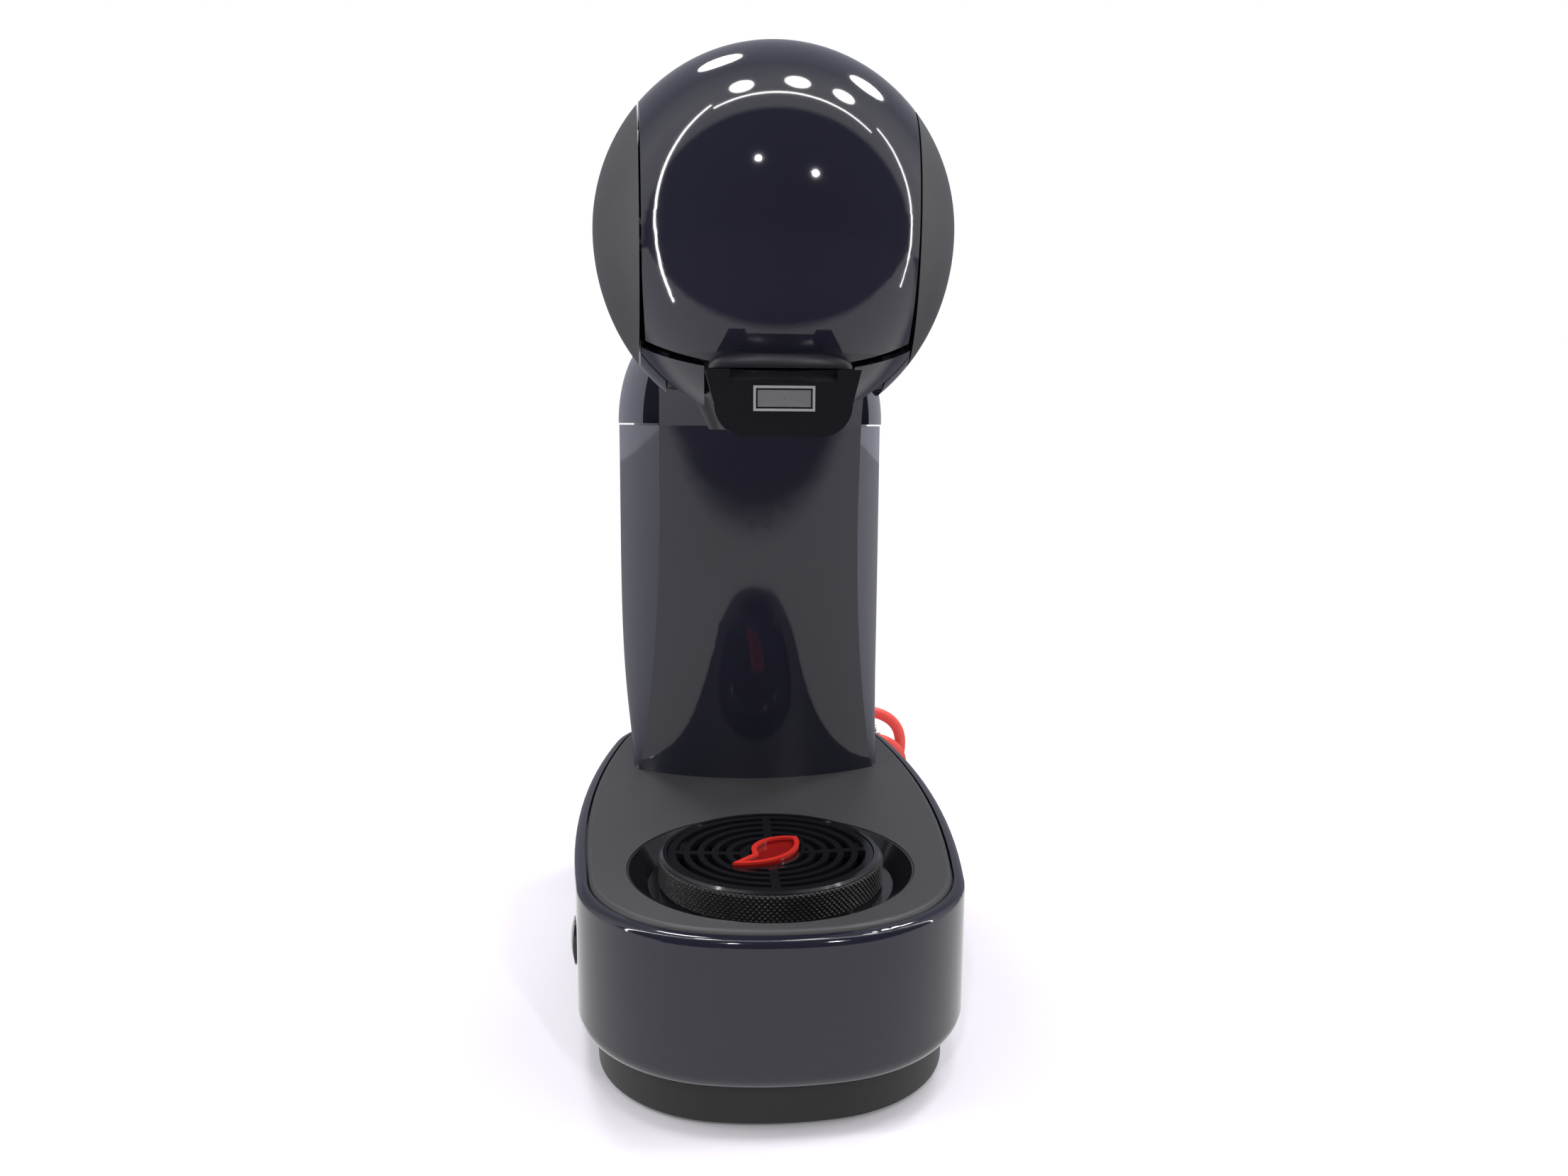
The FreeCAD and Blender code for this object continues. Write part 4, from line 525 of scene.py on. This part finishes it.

# %% [markdown]
# ## The table's finish
# The table is white and takes the machine's shadow. To the camera it turns to plain white away from the
# machine. Mirror-like surfaces see a painted reflection instead: the table glows to them as a strip of white
# that ends at the booth's front edge, with painted dark in front of it and a painted dimmer band behind the
# machine. One matt shader would look the same to the camera and to the mirrors, so Light Path nodes choose
# between three.

# %% Table finish
WHITE = (1.0, 1.0, 1.0, 1.0)
TABLE_TINT = (0.90, 0.86, 0.93, 1.0)
# painted reflection colours: the table glows with them only to mirror rays
PAINTED_REFLECTION_DIM = (0.22, 0.22, 0.25, 1.0)
PAINTED_REFLECTION_DARK = (0.07, 0.07, 0.08, 1.0)
TABLE_EDGE = -0.30
EDGE_BLUR = 0.02
DIM_FROM = 0.10
DIM_TO = 0.22
RAMP_START = -0.5
SHADOW_FADE = (0.2, 0.5)
PLAIN_SHARE_NEAR = 0.1
CAMERA_RAY = 0
GLOSSY_RAY = 3


def white_table():
    """A pale matt surface near the machine, which turns to plain white for the camera further out.

    Mirrors see a painted reflection instead: a glowing strip of white, painted dark in front of the booth's
    edge and dim behind the machine.
    """
    material = bpy.data.materials.new("white_table")
    material.use_nodes = True
    tree = material.node_tree
    tree.nodes.clear()
    place = node(tree, "ShaderNodeTexCoord", output=OBJECT_COORDINATES)
    away = node(tree, "ShaderNodeVectorMath", {"operation": "LENGTH"}, {0: place}, output=1)
    near, far = SHADOW_FADE
    plain_share = node(tree, "ShaderNodeMapRange", {},
                       {0: away, 1: near, 2: far, 3: PLAIN_SHARE_NEAR, 4: 1.0})
    # the stops draw a painted reflection: dark in front, white strip, dim behind
    stops = [(RAMP_START, PAINTED_REFLECTION_DARK), (TABLE_EDGE - EDGE_BLUR, PAINTED_REFLECTION_DARK),
             (TABLE_EDGE + EDGE_BLUR, WHITE), (DIM_FROM, WHITE),
             (DIM_TO, PAINTED_REFLECTION_DIM), (RAMP_START + 1.0, PAINTED_REFLECTION_DIM)]
    painted_reflection_strip = node(tree, "ShaderNodeValToRGB",
                 {"stops": [(y - RAMP_START, colour) for y, colour in stops]},
                 {0: coordinate(tree, place, "Y") - RAMP_START})
    seen = node(tree, "ShaderNodeLightPath", output=CAMERA_RAY)
    mirrored = node(tree, "ShaderNodeLightPath", output=GLOSSY_RAY)
    diffuse = node(tree, "ShaderNodeBsdfDiffuse", {}, {"Color": TABLE_TINT})
    plain = node(tree, "ShaderNodeEmission", {}, {"Color": WHITE, "Strength": 1.0})
    # painted reflection: this emission is seen only by mirror rays
    painted_reflection = node(tree, "ShaderNodeEmission", {}, {"Color": painted_reflection_strip, "Strength": 1.0})
    table = node(tree, "ShaderNodeMixShader", {}, {0: seen * plain_share, 1: diffuse, 2: plain})
    whole = node(tree, "ShaderNodeMixShader", {}, {0: mirrored, 1: table, 2: painted_reflection})
    end = tree.nodes.new("ShaderNodeOutputMaterial")
    tree.links.new(whole.socket, end.inputs[0])
    return material


# %% [markdown]
# ## The table
# The table is one level sheet under the feet, made by the same helper as the other new pieces. It isn't
# part of the machine.

# %% Table
SHEET_POINTS = 9


def flat_sheet(half_width, front, back):
    """A level grid of points at z = 0."""
    across = np.linspace(-half_width, half_width, SHEET_POINTS)
    along = np.linspace(front, back, SHEET_POINTS)
    x, y = np.meshgrid(across, along, indexing="ij")
    return np.stack([x, y, np.zeros(x.shape)], -1)


floor = grid_object("white_table", flat_sheet(half_width=4.0, front=-4.0, back=6.0), white_table())
print("table faces", len(floor.data.polygons))

# %% [markdown]
# ## The booth and its round lamps
# The machine stands in a white booth that is open to a dark room on the camera's side. The polished shells
# show that: the room is the dark patch in the middle of the ball, and the booth is the paler border round
# it. Round lamps hang in the ceiling, behind the machine and, small, in the room. Glowing sheets could do
# the same, but a lamp needs no mesh and no material.

# %% Round lamps
def lamp(name, place, aim, shape, size, power):
    """A flat lamp that looks from one point at another."""
    data = bpy.data.lights.new(name, "AREA")
    data.shape = shape
    data.size, data.size_y = size
    data.energy = power
    made = bpy.data.objects.new(name, data)
    made.location = place
    direction = np.array(aim) - np.array(place)
    turn = math.atan2(direction[0], -direction[1])
    lean = math.atan2(math.hypot(direction[0], direction[1]), -direction[2])
    made.rotation_euler = (lean, 0, turn + math.pi)
    bpy.context.collection.objects.link(made)


MACHINE_MIDDLE = (0, 0, 0.15)
ROUND_LAMPS = {
    "booth_lamp": {"width": 0.34, "power": 6,
                   "places": ((-0.44, -0.12, 2.2), (0.30, -0.08, 2.2), (0.98, 0.0, 2.2))},
    "back_lamp": {"width": 0.40, "power": 12, "places": ((-0.42, 0.95, 1.9), (1.00, 0.80, 1.9))},
    "room_lamp": {"width": 0.08, "power": 5, "places": ((-0.32, -1.4, 1.25), (0.55, -1.39, 1.0))}}
for group, facts in ROUND_LAMPS.items():
    size = (facts["width"], facts["width"])
    for number, place in enumerate(facts["places"]):
        lamp(f"{group}_{number}", place, MACHINE_MIDDLE, "DISK", size, facts["power"])
print("round lamps", sum(len(facts["places"]) for facts in ROUND_LAMPS.values()))

# %% [markdown]
# ### The strips round the opening
# Three narrow lamps line the booth's opening, at the left, at the right and at the top. Each looks straight
# into the opening, so it takes only a place, a length and a power.

# %% Strip lamps
LEFT = -0.48
RIGHT = 0.90
TOP = 1.2
STRIP = 0.014
LEFT_STRIP_Y = -0.20
RIGHT_STRIP_Y = -0.12
TOP_STRIP_Y = -0.26
SIDE_POWER = 2.0
TOP_POWER = 2.3
for name, x, y in (("strip_left", LEFT, LEFT_STRIP_Y), ("strip_right", RIGHT, RIGHT_STRIP_Y)):
    lamp(name, (x, y, TOP / 2), (0, y, TOP / 2), "RECTANGLE", (STRIP, TOP), SIDE_POWER)
middle = (LEFT + RIGHT) / 2
lamp("strip_top", (middle, TOP_STRIP_Y, TOP), (middle, TOP_STRIP_Y, 0), "RECTANGLE", (RIGHT - LEFT, STRIP),
     TOP_POWER)
print("opening width", round(RIGHT - LEFT, 2), "height", TOP)

# %% [markdown]
# ## The surroundings
# The world is the rest of the booth. A colour ramp runs from the dark room in front, past the pale sides,
# to a dimmer back wall. It leans with the height, so that the ceiling counts as part of the booth. The
# camera alone sees plain white. An image of a booth could stand here, but the script would have to carry it.

# %% World
ROOM = (0.04, 0.04, 0.05, 1.0)
BOOTH = (0.98, 1.0, 1.0, 1.0)
BACK_WALL = (0.34, 0.35, 0.40, 1.0)
CEILING_LEAN = 0.38
BOOTH_STOPS = [(0.0, ROOM), (0.49, ROOM), (0.52, BOOTH), (0.68, BOOTH), (0.84, BACK_WALL), (1.0, BACK_WALL)]


def booth_world():
    """White to the camera; to all else a dark room, pale sides and a dimmer back wall.

    The ramp takes a depth of about -1 to 1 as 0 to 1.
    """
    world = bpy.data.worlds.new("booth")
    world.use_nodes = True
    tree = world.node_tree
    tree.nodes.clear()
    direction = node(tree, "ShaderNodeTexCoord")
    depth = coordinate(tree, direction, "Y") + coordinate(tree, direction, "Z") * CEILING_LEAN
    shade = node(tree, "ShaderNodeValToRGB", {"stops": BOOTH_STOPS}, {0: depth * 0.5 + 0.5})
    seen = node(tree, "ShaderNodeLightPath", output=CAMERA_RAY)
    colour = blend_colours(tree, seen, shade, WHITE)
    light = node(tree, "ShaderNodeBackground", {}, {"Color": colour, "Strength": 1.0})
    end = tree.nodes.new("ShaderNodeOutputWorld")
    tree.links.new(light.socket, end.inputs[0])
    return world


bpy.context.scene.world = booth_world()
bpy.context.scene.view_settings.view_transform = "Standard"
print("world", bpy.context.scene.world.name)
